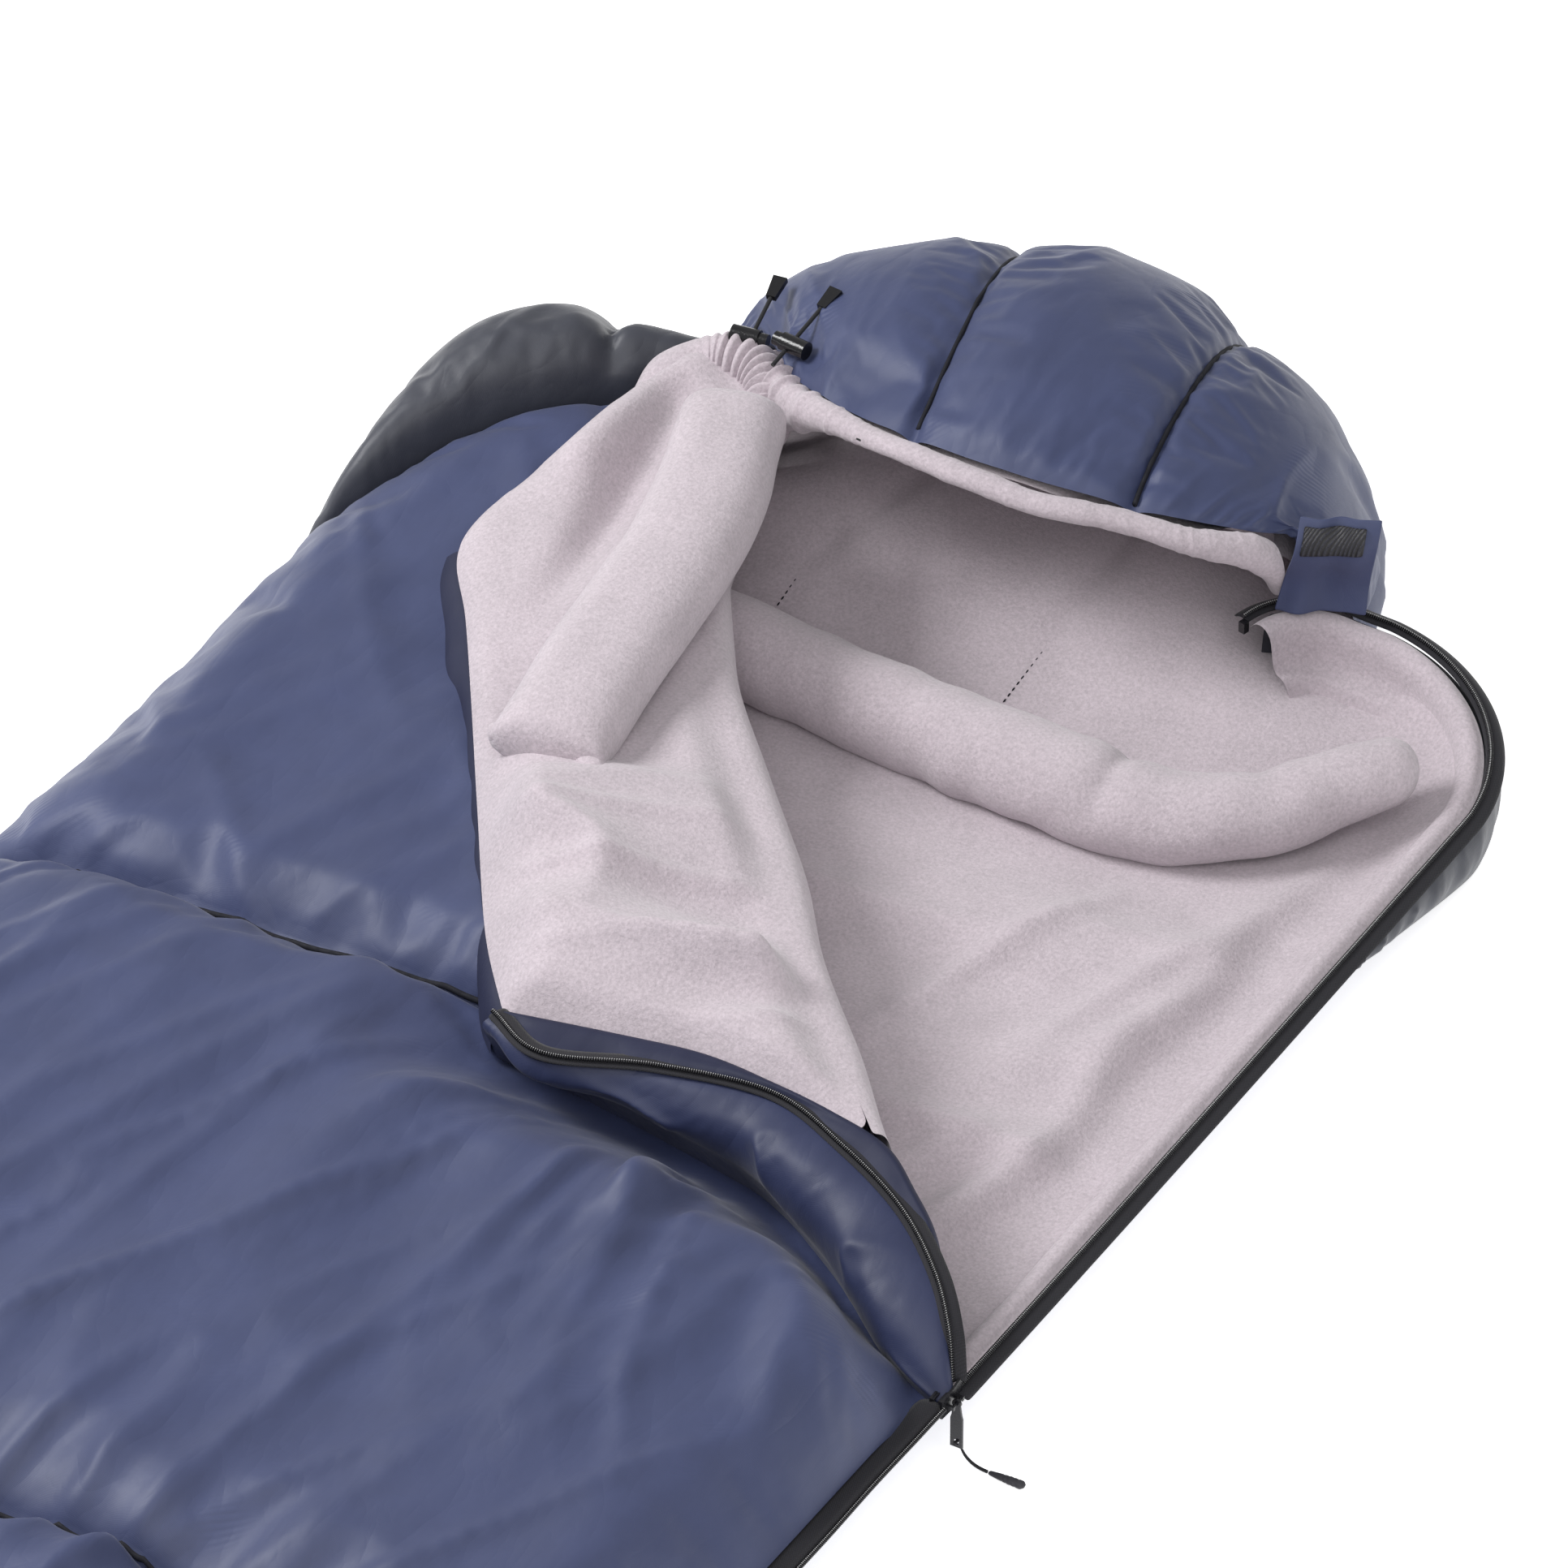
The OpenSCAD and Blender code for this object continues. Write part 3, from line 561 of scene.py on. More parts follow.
def body_outline(inset):
    """The whole bag from above: foot, sides, shoulders and hood."""
    hood_half = HOOD_HALF_W - inset
    foot = arc([HALF_W - FOOT_R, FOOT_Y + FOOT_R], FOOT_R - inset, -90, 0, 16)
    shoulder = arc([HALF_W - SHOULDER_R, SHOULDER_Y - SHOULDER_R], SHOULDER_R - inset, 0, 74, 16)
    a = np.radians(np.arange(12, 84, 6))
    hood = np.stack([hood_half * np.cos(a), HOOD_Y + (TIP_Y - HOOD_Y - inset) * np.sin(a)], 1)
    right = np.concatenate([foot, shoulder, hood])
    left = right[::-1] * [-1, 1]
    return resample(np.concatenate([right, [[0, TIP_Y - inset]], left, right[:1]]), 0.01)[:-1]


ZIP = zip_line()


def side_wall(loop, low, high, bulge, tuck, seed):
    """Upright cloth wall on a closed outline, bulging outwards and gathered into small folds.
    tuck is how far its foot is drawn in under the bag."""
    n = len(loop)
    t = np.linspace(0, 1, 9)
    path = np.column_stack([loop, np.zeros(n)])
    _, right = path_frame(path, closed=True)
    along = np.arange(n) * np.linalg.norm(loop[1] - loop[0])
    pucker = 1 + 0.35 * Noise(seed)(along / 0.035, 0) + 0.25 * Noise(seed + 1)(along / 0.014, 0)
    belly = np.sin(math.pi * (0.12 + 0.88 * t))
    out = np.broadcast_to(bulge, n)[:, None] * belly[None] * pucker[:, None]
    out -= tuck[:, None] * (1 - t[None]) ** 1.3
    points = path[:, None] + out[..., None] * right[:, None]
    points[..., 2] = low + (high[:, None] - low) * t[None]
    return points


def base_shell():
    """Outer cloth of the base panel: flat underneath, with a bulging side all round."""
    loop = body_outline(0.006)
    zip_side = smooth((loop[:, 0] - HALF_W + 0.05) / 0.02) * smooth((loop[:, 1] - ZIP_FOOT_Y) / 0.03)
    open_side = zip_side * smooth((loop[:, 1] - SLIDER_Y + 0.30) / 0.35)
    high = ZIP_Z - 0.001 - 0.008 * zip_side
    wall = side_wall(loop, 0.002, high, 0.010 - 0.008 * open_side, 0.032 * open_side, 20)
    side = sheet("base_shell_side", np.concatenate([wall, wall[:1]]), NAVY, flip=True)
    field = Region(wall[:, 0, :2], 0.02)
    under = field.lift("base_shell_under", 0.002 + 0 * field.x, NAVY)
    shell = join("base_shell", side, under)
    place(shell, "navy", "bag", "base_outer_shell", "base_insulation", "side_seam_wall")


def base_height(x, y, d):
    """Height of the fleece inside the base panel: soft folds, a ridge beside the zip, raised edges."""
    inner = smooth((d - 0.020) / 0.06)
    # soft folds and creases, and a ridge beside the zip
    soft = 0.008 * folds(x, y, 62, 0.13, 0.34, 30)
    below_neck = smooth((0.62 - y) / 0.1)
    soft += 0.014 * creases(x, y, 92, 0.075, 0.42, 31) * smooth((x + 0.1) / 0.2) * below_neck
    soft += 0.012 * creases(x, y, 20, 0.060, 0.30, 32) * smooth((x - 0.15) / 0.05) * below_neck
    ridge = 0.325 + 0.04 * (y - 0.4) - 0.10 * smooth((0.30 - y) / 0.2) + 0.006 * np.sin(y * 40)
    along_ridge = smooth((y - 0.16) / 0.1) * smooth((0.75 - y) / 0.1)
    soft += 0.014 * np.exp(-((x - ridge) / 0.014) ** 2) * along_ridge
    # lower where the top panel and the turned-back corner cover it
    crease = lip_crease(40)
    fold = fold_edge()
    under_top = smooth((np.interp(x, crease[:, 0], crease[:, 1]) + 0.025 - y) / 0.025)
    left_of_fold = smooth((np.interp(y, fold[:, 1], fold[:, 0]) - 0.012 - x) / 0.03) * (y < 0.80)
    under_top = np.maximum(under_top, left_of_fold)
    floor = BASE_Z - 0.004 + soft * inner * (1 - under_top) - 0.022 * under_top * inner
    # edges that climb, most of all beside the open zip
    zip_rise = np.interp(y, [0.1, 0.7, SHOULDER_Y], [0.0, 0.012, 0.036])
    beside_zip = smooth((x - 0.20) / 0.06) * smooth((SHOULDER_Y + 0.03 - y) / 0.03)
    floor += (0.004 + (zip_rise + 0.002) * beside_zip) * np.exp(-d / 0.028)
    # the padded floor of the hood, with its sunk seams
    hood = smooth((y - 0.68) / 0.26) * smooth((d - 0.02) / 0.10)
    floor += hood * (0.050 + 0.006 * folds(x, y, -20, 0.09, 0.25, 33))
    for seam in hood_floor_seams():
        gap = nearest(x, y, seam)[0]
        floor -= hood * (0.007 * np.exp(-gap / 0.004) + 0.004 * np.exp(-gap / 0.02))
    return floor


def hood_floor_seams():
    """Stitched seams across the fleece inside the hood."""
    zip_side = [[0.078, 0.640], [0.073, 0.725], [0.073, 0.790], [0.074, 0.920]]
    left_side = [[-0.098, 0.660], [-0.102, 0.720], [-0.104, 0.775], [-0.090, 0.820], [-0.065, 0.900]]
    return curve(zip_side, 0.01), curve(left_side, 0.01)


def base_lining():
    """Fleece of the base panel from the middle of the bag to the hood, with the hood's stitching."""
    field = Region(body_outline(0.008), 0.008)
    keep = field.y[field.faces].max(1) > 0.0
    used, back = np.unique(field.faces[keep], return_inverse=True)
    field.x, field.y, field.d = field.x[used], field.y[used], field.d[used]
    field.faces = back.reshape(-1, 4)
    lining = field.lift("base_lining_fleece", base_height(field.x, field.y, field.d), FLEECE, 1)
    rows = []
    for seam in hood_floor_seams():
        d = nearest(seam[:, 0], seam[:, 1], np.concatenate([field.outline, field.outline[:1]]))[0]
        path = np.column_stack([seam, base_height(seam[:, 0], seam[:, 1], d) + 0.0006])
        # near-black stitch beads that also paint in the shade of the sunk seams
        rows.append(beads("seam_thread", path, 0.006, (0.0040, 0.0012, 0.0012), STITCH_AND_SEAM_SHADE))
    thread = join("hood_floor_stitches", *rows)
    place(thread, "fleece", "bag")
    place(lining, "fleece", "bag", "base_lining")


def zip_facing():
    """Rolled fleece edge inside the open zip, with the wall under it running down to the lining."""
    n = len(ZIP)
    along = np.arange(n) * ZIP_STEP
    wave = 0.0015 * Noise(41)(along / 0.05, 0)
    # six points round the rolled edge, then six down the wall
    roll = [[-0.002, -0.002], [-0.005, 0.003], [-0.010, 0.0055], [-0.016, 0.004], [-0.020, -0.002],
            [-0.021, -0.009]]
    drop = ZIP[:, 2] - BASE_Z + 0.004
    rows = np.empty((n, 12, 2))
    rows[:, :6] = roll
    rows[:, :6, 1] += wave[:, None]
    for k, (inwards, down) in enumerate([(0.021, 0.35), (0.026, 0.4), (0.033, 0.42), (0.038, 0.6),
                                         (0.042, 0.85), (0.05, 1.05)]):
        rows[:, 6 + k, 0] = -inwards - 0.003 * Noise(42 + k)(along / 0.06, 0)
        rows[:, 6 + k, 1] = -0.009 - np.maximum(drop - 0.007, 0.004) * down
    facing = sheet("zip_facing_fleece", swept(ZIP, rows), FLEECE, level=1)
    place(facing, "fleece", "bag", "base_side_wall", "zip_draft_tube")


def outer_wall():
    """Charcoal outer cloth under the zip round the right shoulder, crumpled into upright folds."""
    path = ZIP[ZIP[:, 1] > 0.5]
    path = path[:np.argmax(path[:, 0] < 0.205)]
    n = len(path)
    along = np.arange(n) * ZIP_STEP
    t = np.linspace(0, 1, 14)
    high = path[:, 2] - 0.004
    out = 0.006 * np.sin(math.pi * t ** 0.8)[None] * (0.2 + 0.6 * smooth(along / 0.2))[:, None]
    pucker = 0.004 * creases(along[:, None] + 0.02 * t[None], t[None] * 0.04, 8, 0.012, 0.12, 45)
    out = out + pucker * np.sin(math.pi * t)[None]
    points = path[:, None] + np.zeros((n, 14, 3))
    _, right = path_frame(path)
    points += (0.002 + out)[..., None] * right[:, None]
    reach = smooth((along + 0.004) / 0.30)[:, None]
    points[..., 2] = high[:, None] * (1 - t[None] * reach) + 0.004 * t[None] * reach
    wall = sheet("shoulder_wall", points, CHARCOAL, level=1)
    place(wall, "charcoal", "bag", "shoulder_yoke")


def neck_tube():
    """Padded fleece tube across the neck, lying on the base panel's fleece."""
    lo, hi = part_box("neck_tube_cover")
    z = (lo.z + hi.z) / 2
    path = curve([[lo.x - 0.12, 0.660, z], [0.05, 0.644, z], [0.14, 0.638, z + 0.003],
                  [0.22, 0.64, z], [0.283, 0.668, z + 0.004], [0.320, 0.715, z + 0.010],
                  [0.352, 0.755, z + 0.016]], 0.006)
    n = len(path)
    along = np.linspace(0, 1, n)
    swell = 1.0 + 0.04 * Noise(50)(along * 7, 0) - 0.30 * smooth((along - 0.55) / 0.45)
    swell[-3:] *= [0.9, 0.7, 0.35]
    swell[:2] *= [0.5, 0.85]

    def wrinkle(points, a):
        fold = Noise(51)(along[:, None] * 26, np.sin(a)[None] * 1.2) * 0.0018
        deep = -0.006 * np.exp(-((along[:, None] - 0.62) / 0.012) ** 2) * np.maximum(np.sin(a), 0)[None]
        centre = path[:, None]
        away = points - centre
        away /= np.maximum(np.linalg.norm(away, axis=2), 1e-9)[..., None]
        return points + away * (fold + deep)[..., None]

    cover = tube("neck_tube_fleece", path, 0.034 * swell, 0.031 * swell, FLEECE, 28, 1, shape=wrinkle)
    place(cover, "fleece", "bag", "neck_tube_cover", "neck_tube_fill")


# ---- top panel -----------------------------------------------------------------------------

FOOT_LEFT = arc([-HALF_W + FOOT_R, FOOT_Y + FOOT_R], FOOT_R - 0.004, 180, 270, 16)
FOOT_RIGHT = arc([HALF_W - FOOT_R, FOOT_Y + FOOT_R], FOOT_R - 0.004, -90, 0, 16)


def pad_seam():
    """The slanting seam between the top panel and the charcoal shoulder panel."""
    return curve([[-HALF_W + 0.002, 0.560], [-0.376, 0.602], [-0.350, 0.645], [-0.322, 0.700],
                  [-0.272, 0.758], [-0.220, 0.812]], 0.01)


def mouth_edge():
    """The zip's run along the mouth, from the folded corner to the slider (x, y, z)."""
    return curve([[0.024, 0.182, 0.130], [0.069, 0.165, 0.128], [0.135, 0.192, 0.127],
                  [0.207, 0.209, 0.124], [0.267, 0.193, 0.118], [0.320, 0.171, 0.109],
                  [0.361, 0.142, 0.097], [0.386, 0.117, 0.080],
                  [ZIP_X, SLIDER_Y + 0.008, ZIP_Z + 0.004]], ZIP_STEP)


def spread(line, n):
    """n points spread evenly along a path."""
    at = np.linspace(0, len(line) - 1, n)
    return np.stack([np.interp(at, np.arange(len(line)), line[:, k]) for k in range(3)], 1)


def lip_crease(n):
    """The deep crease below the mouth's puffy lip, in n points (x, y, z)."""
    line = curve([[0.020, 0.178, 0.118], [0.092, 0.188, 0.098], [0.154, 0.191, 0.084],
                  [0.210, 0.187, 0.075], [0.265, 0.162, 0.066], [0.299, 0.142, 0.058],
                  [0.345, 0.110, 0.050], [0.392, 0.088, 0.047]], 0.004)
    return spread(line, n)


def guard_edge(n):
    """The free edge of the strip inside the mouth's zip, where it meets the corner's fleece."""
    line = curve([[0.030, 0.186, 0.133], [0.097, 0.203, 0.132], [0.154, 0.214, 0.132],
                  [0.204, 0.214, 0.130], [0.245, 0.211, 0.128], [0.288, 0.204, 0.124],
                  [0.320, 0.184, 0.116], [0.345, 0.166, 0.106], [0.365, 0.140, 0.094],
                  [0.384, 0.116, 0.076], [ZIP_X - 0.006, SLIDER_Y + 0.010, ZIP_Z]], 0.004)
    return spread(line, n)


def radiating(x, y, seed, pitch, length):
    """Long folds that fan out from the mouth over the top panel, 0 to 1."""
    dx, dy = x - 0.15, 0.31 - y
    away = np.hypot(dx, dy)
    turn = np.arctan2(dx, np.maximum(dy, 0.01))
    sway = 0.5 * Noise(seed + 1)(away / 0.12, turn)
    return (1 - np.abs(Noise(seed)(turn / pitch + sway + 40, away / length + 9))) ** 4


def cover_height(x, y, pad=0.0):
    """Height of the top of the bag, over the top panel and the left shoulder panel alike.
    pad is how much the shoulder panel stands proud between its seams."""
    side = np.concatenate([left_shoulder()[::-1], FOOT_LEFT, FOOT_RIGHT, [[HALF_W - 0.002, SLIDER_Y]]])
    d_side = np.maximum(nearest(x, y, resample(side, 0.006))[0] - 0.001, 0)
    gaps = [np.abs(y - quilt_seam(x, k)) for k in range(QUILT_SEAMS)]
    d_pad = nearest(x, y, pad_seam())[0]
    d_cross = nearest(x, y, PAD_CROSS_SEAM)[0]
    crease = lip_crease(90)
    d_lip, spot = nearest(x, y, crease[:, :2])
    where = np.round(spot * (len(crease) - 1)).astype(int)
    beyond = (y > crease[where, 1]) * smooth((x - crease[0, 0]) / 0.04)
    ahead = d_lip * (1 - beyond)

    # the padded body: round sides and a level crown that climbs at the shoulder
    edge_z = ZIP_Z - 0.003 + 0.008 * smooth((x - HALF_W + 0.1) / 0.08) * smooth((y - ZIP_FOOT_Y) / 0.05)
    crown = TOP_Z + 0.004 - edge_z + 0.022 * smooth((y - 0.50) / 0.25)
    z = edge_z + crown * dome(d_side, 0.080)
    # soft folds and creases, strongest towards the foot
    soft = smooth(d_side / 0.08)
    below = smooth((FIRST_SEAM_Y - y) / 0.1)
    z += 0.0050 * folds(x, y, 14, 0.10, 0.5, 60) * soft
    z += 0.0030 * folds(x, y, -22, 0.06, 0.3, 61) * soft
    ridges = creases(x, y, 16, 0.075, 0.40, 62) + 0.8 * creases(x, y, 8, 0.05, 0.35, 63)
    ridges += 0.7 * creases(x, y, 26, 0.035, 0.22, 64)
    z += 0.0105 * ridges * soft * (0.35 + 0.65 * below)
    z += 0.0050 * creases(x, y, -35, 0.05, 0.3, 65) * soft * (1 - below)
    # quilting seams, gathered on both sides
    for k, gap in enumerate(gaps):
        z -= (0.026 * (1 - dome(gap, 0.055)) + 0.005 * np.exp(-gap / 0.006)) * smooth(d_side / 0.03)
        gather = Noise(66 + k)(x / 0.024 + 2 * Noise(70)(x / 0.1, y / 0.1), y / 0.22)
        z += 0.0045 * gather * np.exp(-np.maximum(gap - 0.008, 0) / 0.04) * smooth(gap / 0.014) * soft
    # the shoulder panel's seams
    z -= (0.026 * (1 - dome(d_pad, 0.05))) * smooth((y - 0.5) / 0.06)
    z += pad * dome(d_pad, 0.035) * dome(d_side, 0.045) * (0.70 + 0.30 * dome(d_cross, 0.035))
    z -= 0.009 * (1 - dome(d_cross, 0.022))
    beside_cross = np.exp(-d_cross / 0.03) * smooth(d_cross / 0.006)
    z += 0.004 * Noise(76)(d_pad / 0.011, d_cross / 0.1) * beside_cross
    # folds that fan out from the mouth, and the dip to the crease under its lip
    fan = np.exp(-(d_lip / 0.22) ** 2) * smooth((FIRST_SEAM_Y - y) / 0.05) * smooth((x + 0.05) / 0.15)
    z += 0.024 * (radiating(x, y, 77, 0.20, 0.5) + 0.6 * radiating(x, y, 87, 0.09, 0.3)) * fan * soft
    low = crease[where, 2] - 0.036 * smooth((HALF_W - 0.02 - x) / 0.10)
    valley = 0.115 - 0.040 * smooth((x - 0.20) / 0.08)
    z = low + (z - low) * smooth((ahead + 0.008) / valley)
    # lower where the turned-back corner lies on it
    edge = flap_edge()[::-1]
    under_flap = x - np.interp(y, edge[:, 1], edge[:, 0])
    z -= 0.024 * smooth((under_flap - 0.02) / 0.06) * smooth((y - 0.20) / 0.06)
    return z, np.minimum(np.min(gaps, axis=0), d_pad)


def quilt_seam(x, k):
    """Where quilting seam k crosses the top panel at x, counted from the head. It wanders a little."""
    return FIRST_SEAM_Y + 0.008 * np.sin(x * 7 + 1) - k * QUILT_PITCH


def left_shoulder():
    """Outer edge of the bag's left side from the foot end up to the hood."""
    corner = arc([-HALF_W + SHOULDER_R, SHOULDER_Y - SHOULDER_R], SHOULDER_R - 0.003, 180, 86, 20)
    to_hood = [[-0.235, SHOULDER_Y + 0.008], [-0.19, 0.872]]
    return np.concatenate([[[-HALF_W + 0.002, -0.8]], corner, to_hood])


PAD_CROSS_SEAM = resample([[-0.248, 0.753], [-0.300, 0.862]], 0.01)


def padded(name, outline, step, material, slot, pad, *nodes):
    """A quilted cover panel: lifted to the cover's height, then inflated between its seams."""
    field = Region(outline, step)
    for k in range(QUILT_SEAMS):
        seam_y = quilt_seam(field.x, k)
        on_seam = (np.abs(field.y - seam_y) < step / 2) & ~field.rim
        field.y[on_seam] = seam_y[on_seam]
    z, gap = cover_height(field.x, field.y, pad)
    panel = field.lift(name, z, material)
    settle(panel, field.rim | (gap < 0.006), pressure=2.2, growth=0.03, cap=0.010)
    round_off(panel)
    place(panel, slot, "bag", *nodes)
    return field


def seam_thread(name, paths):
    """Sunken stitching that closes the bottom of each quilting seam. Its near-black colour and width
    also paint in the shade of the seam's valley.
    """
    radius = 0.0017
    runs = [tube("seam_run", path, radius, radius * 1.3, STITCH_AND_SEAM_SHADE, 6) for path in paths]
    thread = join(name, *runs)
    place(thread, "navy_dark", "bag")


def top_panel():
    """Quilted navy cover, with near-black thread in its cross seams that also paints in their shade."""
    under_lip = lip_crease(14)[::-1, :2][:8] + [0, 0.030]
    under_lip[0] -= [0, 0.026]
    fold = fold_edge()[20:-6:8] - [0.010, 0.006]
    outline = np.concatenate([FOOT_RIGHT, [[HALF_W - 0.002, SLIDER_Y - 0.01]], under_lip, fold,
                              pad_seam()[::-1], [[-HALF_W + 0.002, 0.5]], FOOT_LEFT])
    field = padded("top_panel_shell", outline, 0.0075, NAVY, "navy", 0.0, "top_outer_shell",
                   "top_insulation", "top_lining")
    paths = []
    for k in range(QUILT_SEAMS):
        x = np.arange(-HALF_W + 0.004, HALF_W - 0.004, 0.004)
        y = quilt_seam(x, k)
        kept = inside(x, y, field.outline)
        z, _ = cover_height(x, y)
        paths.append(np.column_stack([x, y, z + 0.0098])[kept])
    seam_thread("quilting_thread", paths)


def shoulder_pad():
    """Charcoal padded panel on the left shoulder, quilted across once."""
    corner = left_shoulder()[1:][::-1]
    outline = np.concatenate([pad_seam(), [[-0.18, 0.832]], corner])
    padded("shoulder_pad_shell", outline, 0.005, CHARCOAL, "charcoal", 0.034, "shoulder_pad")


# ---- turned-back corner --------------------------------------------------------------------

def fold_edge():
    """Where the turned-back corner rolls over, from the mouth to the neck (x, y)."""
    return curve([[0.278, 0.209], [0.192, 0.292], [0.098, 0.396], [0.011, 0.488], [-0.057, 0.568],
                  [-0.108, 0.645], [-0.150, 0.745], [-0.178, 0.832]], FOLD_STEP)


def flap_edge():
    """The corner's free edge, from the neck down to the mouth (x, y)."""
    return curve([[-0.205, 0.822], [-0.224, 0.775], [-0.232, 0.734], [-0.238, 0.670], [-0.247, 0.604],
                  [-0.238, 0.560], [-0.202, 0.512], [-0.156, 0.445], [-0.092, 0.350], [-0.024, 0.250],
                  [0.026, 0.190]], FOLD_STEP)


FLAP_EDGE_Z = 0.122


def fold_top(y):
    """Height of the line where the turned-back corner rolls over."""
    return 0.125 + 0.011 * smooth((y - 0.2) / 0.15) + fold_climb(y)


def flap_fleece():
    """The corner's fleece side: round free edges, soft folds, and a deep fold beside the tube."""
    fold, edge = fold_edge(), flap_edge()
    bottom = guard_edge(60)
    bottom = bottom[(bottom[:, 0] > 0.034) & (bottom[:, 0] < 0.276)][::3]
    along_bottom = bottom[:, :2] + [0.002, 0.004]
    field = Region(np.concatenate([edge, along_bottom, fold, [[-0.185, 0.836]]]), 0.006)
    x, y = field.x, field.y
    d_edge = nearest(x, y, edge)[0]
    d_bottom = nearest(x, y, bottom[:, :2])[0]
    d_free = np.minimum(d_edge, d_bottom)
    d_fold = nearest(x, y, fold)[0]
    climb = fold_climb(y)
    z = FLAP_EDGE_Z + climb + 0.006 + 0.012 * dome(d_edge, 0.030)
    # folds away from the edges, deeper towards the mouth
    calm = smooth(d_free / 0.04) * smooth(d_fold / 0.03)
    low = smooth((0.46 - y) / 0.14)
    z += calm * 0.012 * folds(x, y, 62, 0.08, 0.3, 80)
    z += calm * 0.034 * creases(x, y, 72, 0.048, 0.30, 81) * low
    z += calm * 0.010 * creases(x, y, 60, 0.03, 0.16, 83) * low
    z += calm * 0.010 * folds(x, y, -30, 0.05, 0.3, 82) * (1 - low)
    # a valley beside the padded tube, and a fat hem left of it
    beside_tube = curve([[-0.196, 0.760], [-0.185, 0.71], [-0.168, 0.62], [-0.150, 0.52]], 0.02)
    valley = nearest(x, y, beside_tube)[0]
    z -= 0.019 * np.exp(-(valley / 0.016) ** 2) * smooth((y - 0.48) / 0.14)
    hem = nearest(x, y, curve([[-0.206, 0.792], [-0.212, 0.73], [-0.216, 0.67]], 0.02))[0]
    z += 0.010 * np.exp(-(hem / 0.018) ** 2)
    # meet the roll along the fold and the dark strip along the mouth
    z += (fold_top(y) - z) * (1 - smooth(d_fold / 0.035))
    z += (FLAP_EDGE_Z - z) * (1 - smooth(d_bottom / 0.020))
    fleece = field.lift("flap_fleece", z, FLEECE, 1)
    place(fleece, "fleece", "flap", "flap_lining", "flap_insulation", "flap_outer_shell")


def fold_climb(y):
    """How much higher the folded corner lies towards the neck."""
    return 0.014 * smooth((y - 0.35) / 0.5)


def fold_roll():
    """Fleece that rolls from under the top panel up and over on to the turned-back corner."""
    plan = fold_edge()
    path = np.column_stack([plan, fold_top(plan[:, 1])])
    depth = path[:, 2] - BASE_Z - 0.004
    t = np.linspace(0, 1, 16)
    n = len(path)
    along = np.arange(n) * FOLD_STEP
    bulge = 0.017 + 0.004 * Noise(85)(along / 0.09, 0)
    rows = np.empty((n, 16, 2))
    rows[..., 0] = bulge[:, None] * np.sin(math.pi * t ** 0.8)[None]
    rows[..., 1] = -depth[:, None] * (1 - np.cos(math.pi * t))[None] / 2
    roll = sheet("fold_roll_fleece", swept(path, rows), FLEECE, level=1)
    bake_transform(roll)


def mouth_lip():
    """Puffy navy edge of the folded corner, between the zip and the deep crease under it. Its cloth is a
    darker copy of the navy, as painted shade.
    """
    top = mouth_edge()
    n = len(top)
    low = lip_crease(n)
    along = np.arange(n) * ZIP_STEP
    ahead, _ = path_frame(top)
    drop = low - top
    width = np.linalg.norm(drop, axis=1)
    out = np.cross(drop, ahead)
    out /= np.linalg.norm(out, axis=1)[:, None]
    out *= -np.sign(out[:, 1])[:, None]
    # a fat bulge with slanting gathers, from t = 0 at the zip to 1 at the crease
    t = np.linspace(-0.06, 1.0, 20)
    fat = 0.46 * width * (1 + 0.15 * Noise(90)(along / 0.05, 0))
    u = along[:, None] / 0.065 + 1.6 * t[None]
    ridge = (1 - np.abs(Noise(91)(u, 1.6 * t[None] - along[:, None] / 0.09 + 3))) ** 3
    fine = (1 - np.abs(Noise(92)(along[:, None] / 0.013 + 1.5 * t[None], 1.5 * t[None]))) ** 2
    pucker = 0.0080 * ridge - 0.003 + 0.0035 * fine * np.exp(-t / 0.3)[None]
    round_ = np.sin(math.pi * np.clip(t, 0, 1)) ** 0.75
    push = fat[:, None] * round_[None] + pucker * round_[None] * smooth(width / 0.03)[:, None]
    points = top[:, None] + drop[:, None] * t[None, :, None] + out[:, None] * push[..., None]
    # two more rows that tuck the lip in under itself, shallower at the slider
    depth = smooth((along[-1] - along) / 0.06)[:, None, None]
    tuck = low[:, None] + depth * np.array([[0, 0.008, -0.014], [0, 0.018, -0.040]])[None]
    # the lip takes the darker navy copy, which paints in its shade
    lip = sheet("mouth_lip_shell", np.concatenate([points, tuck], 1), NAVY_LIP_SHADE, level=1)
    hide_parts("zip_tape_flap")
    blend_mouth(lip)


def blend_mouth(obj):
    """Bakes a zip-side piece's placement into its mesh."""
    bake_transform(obj)


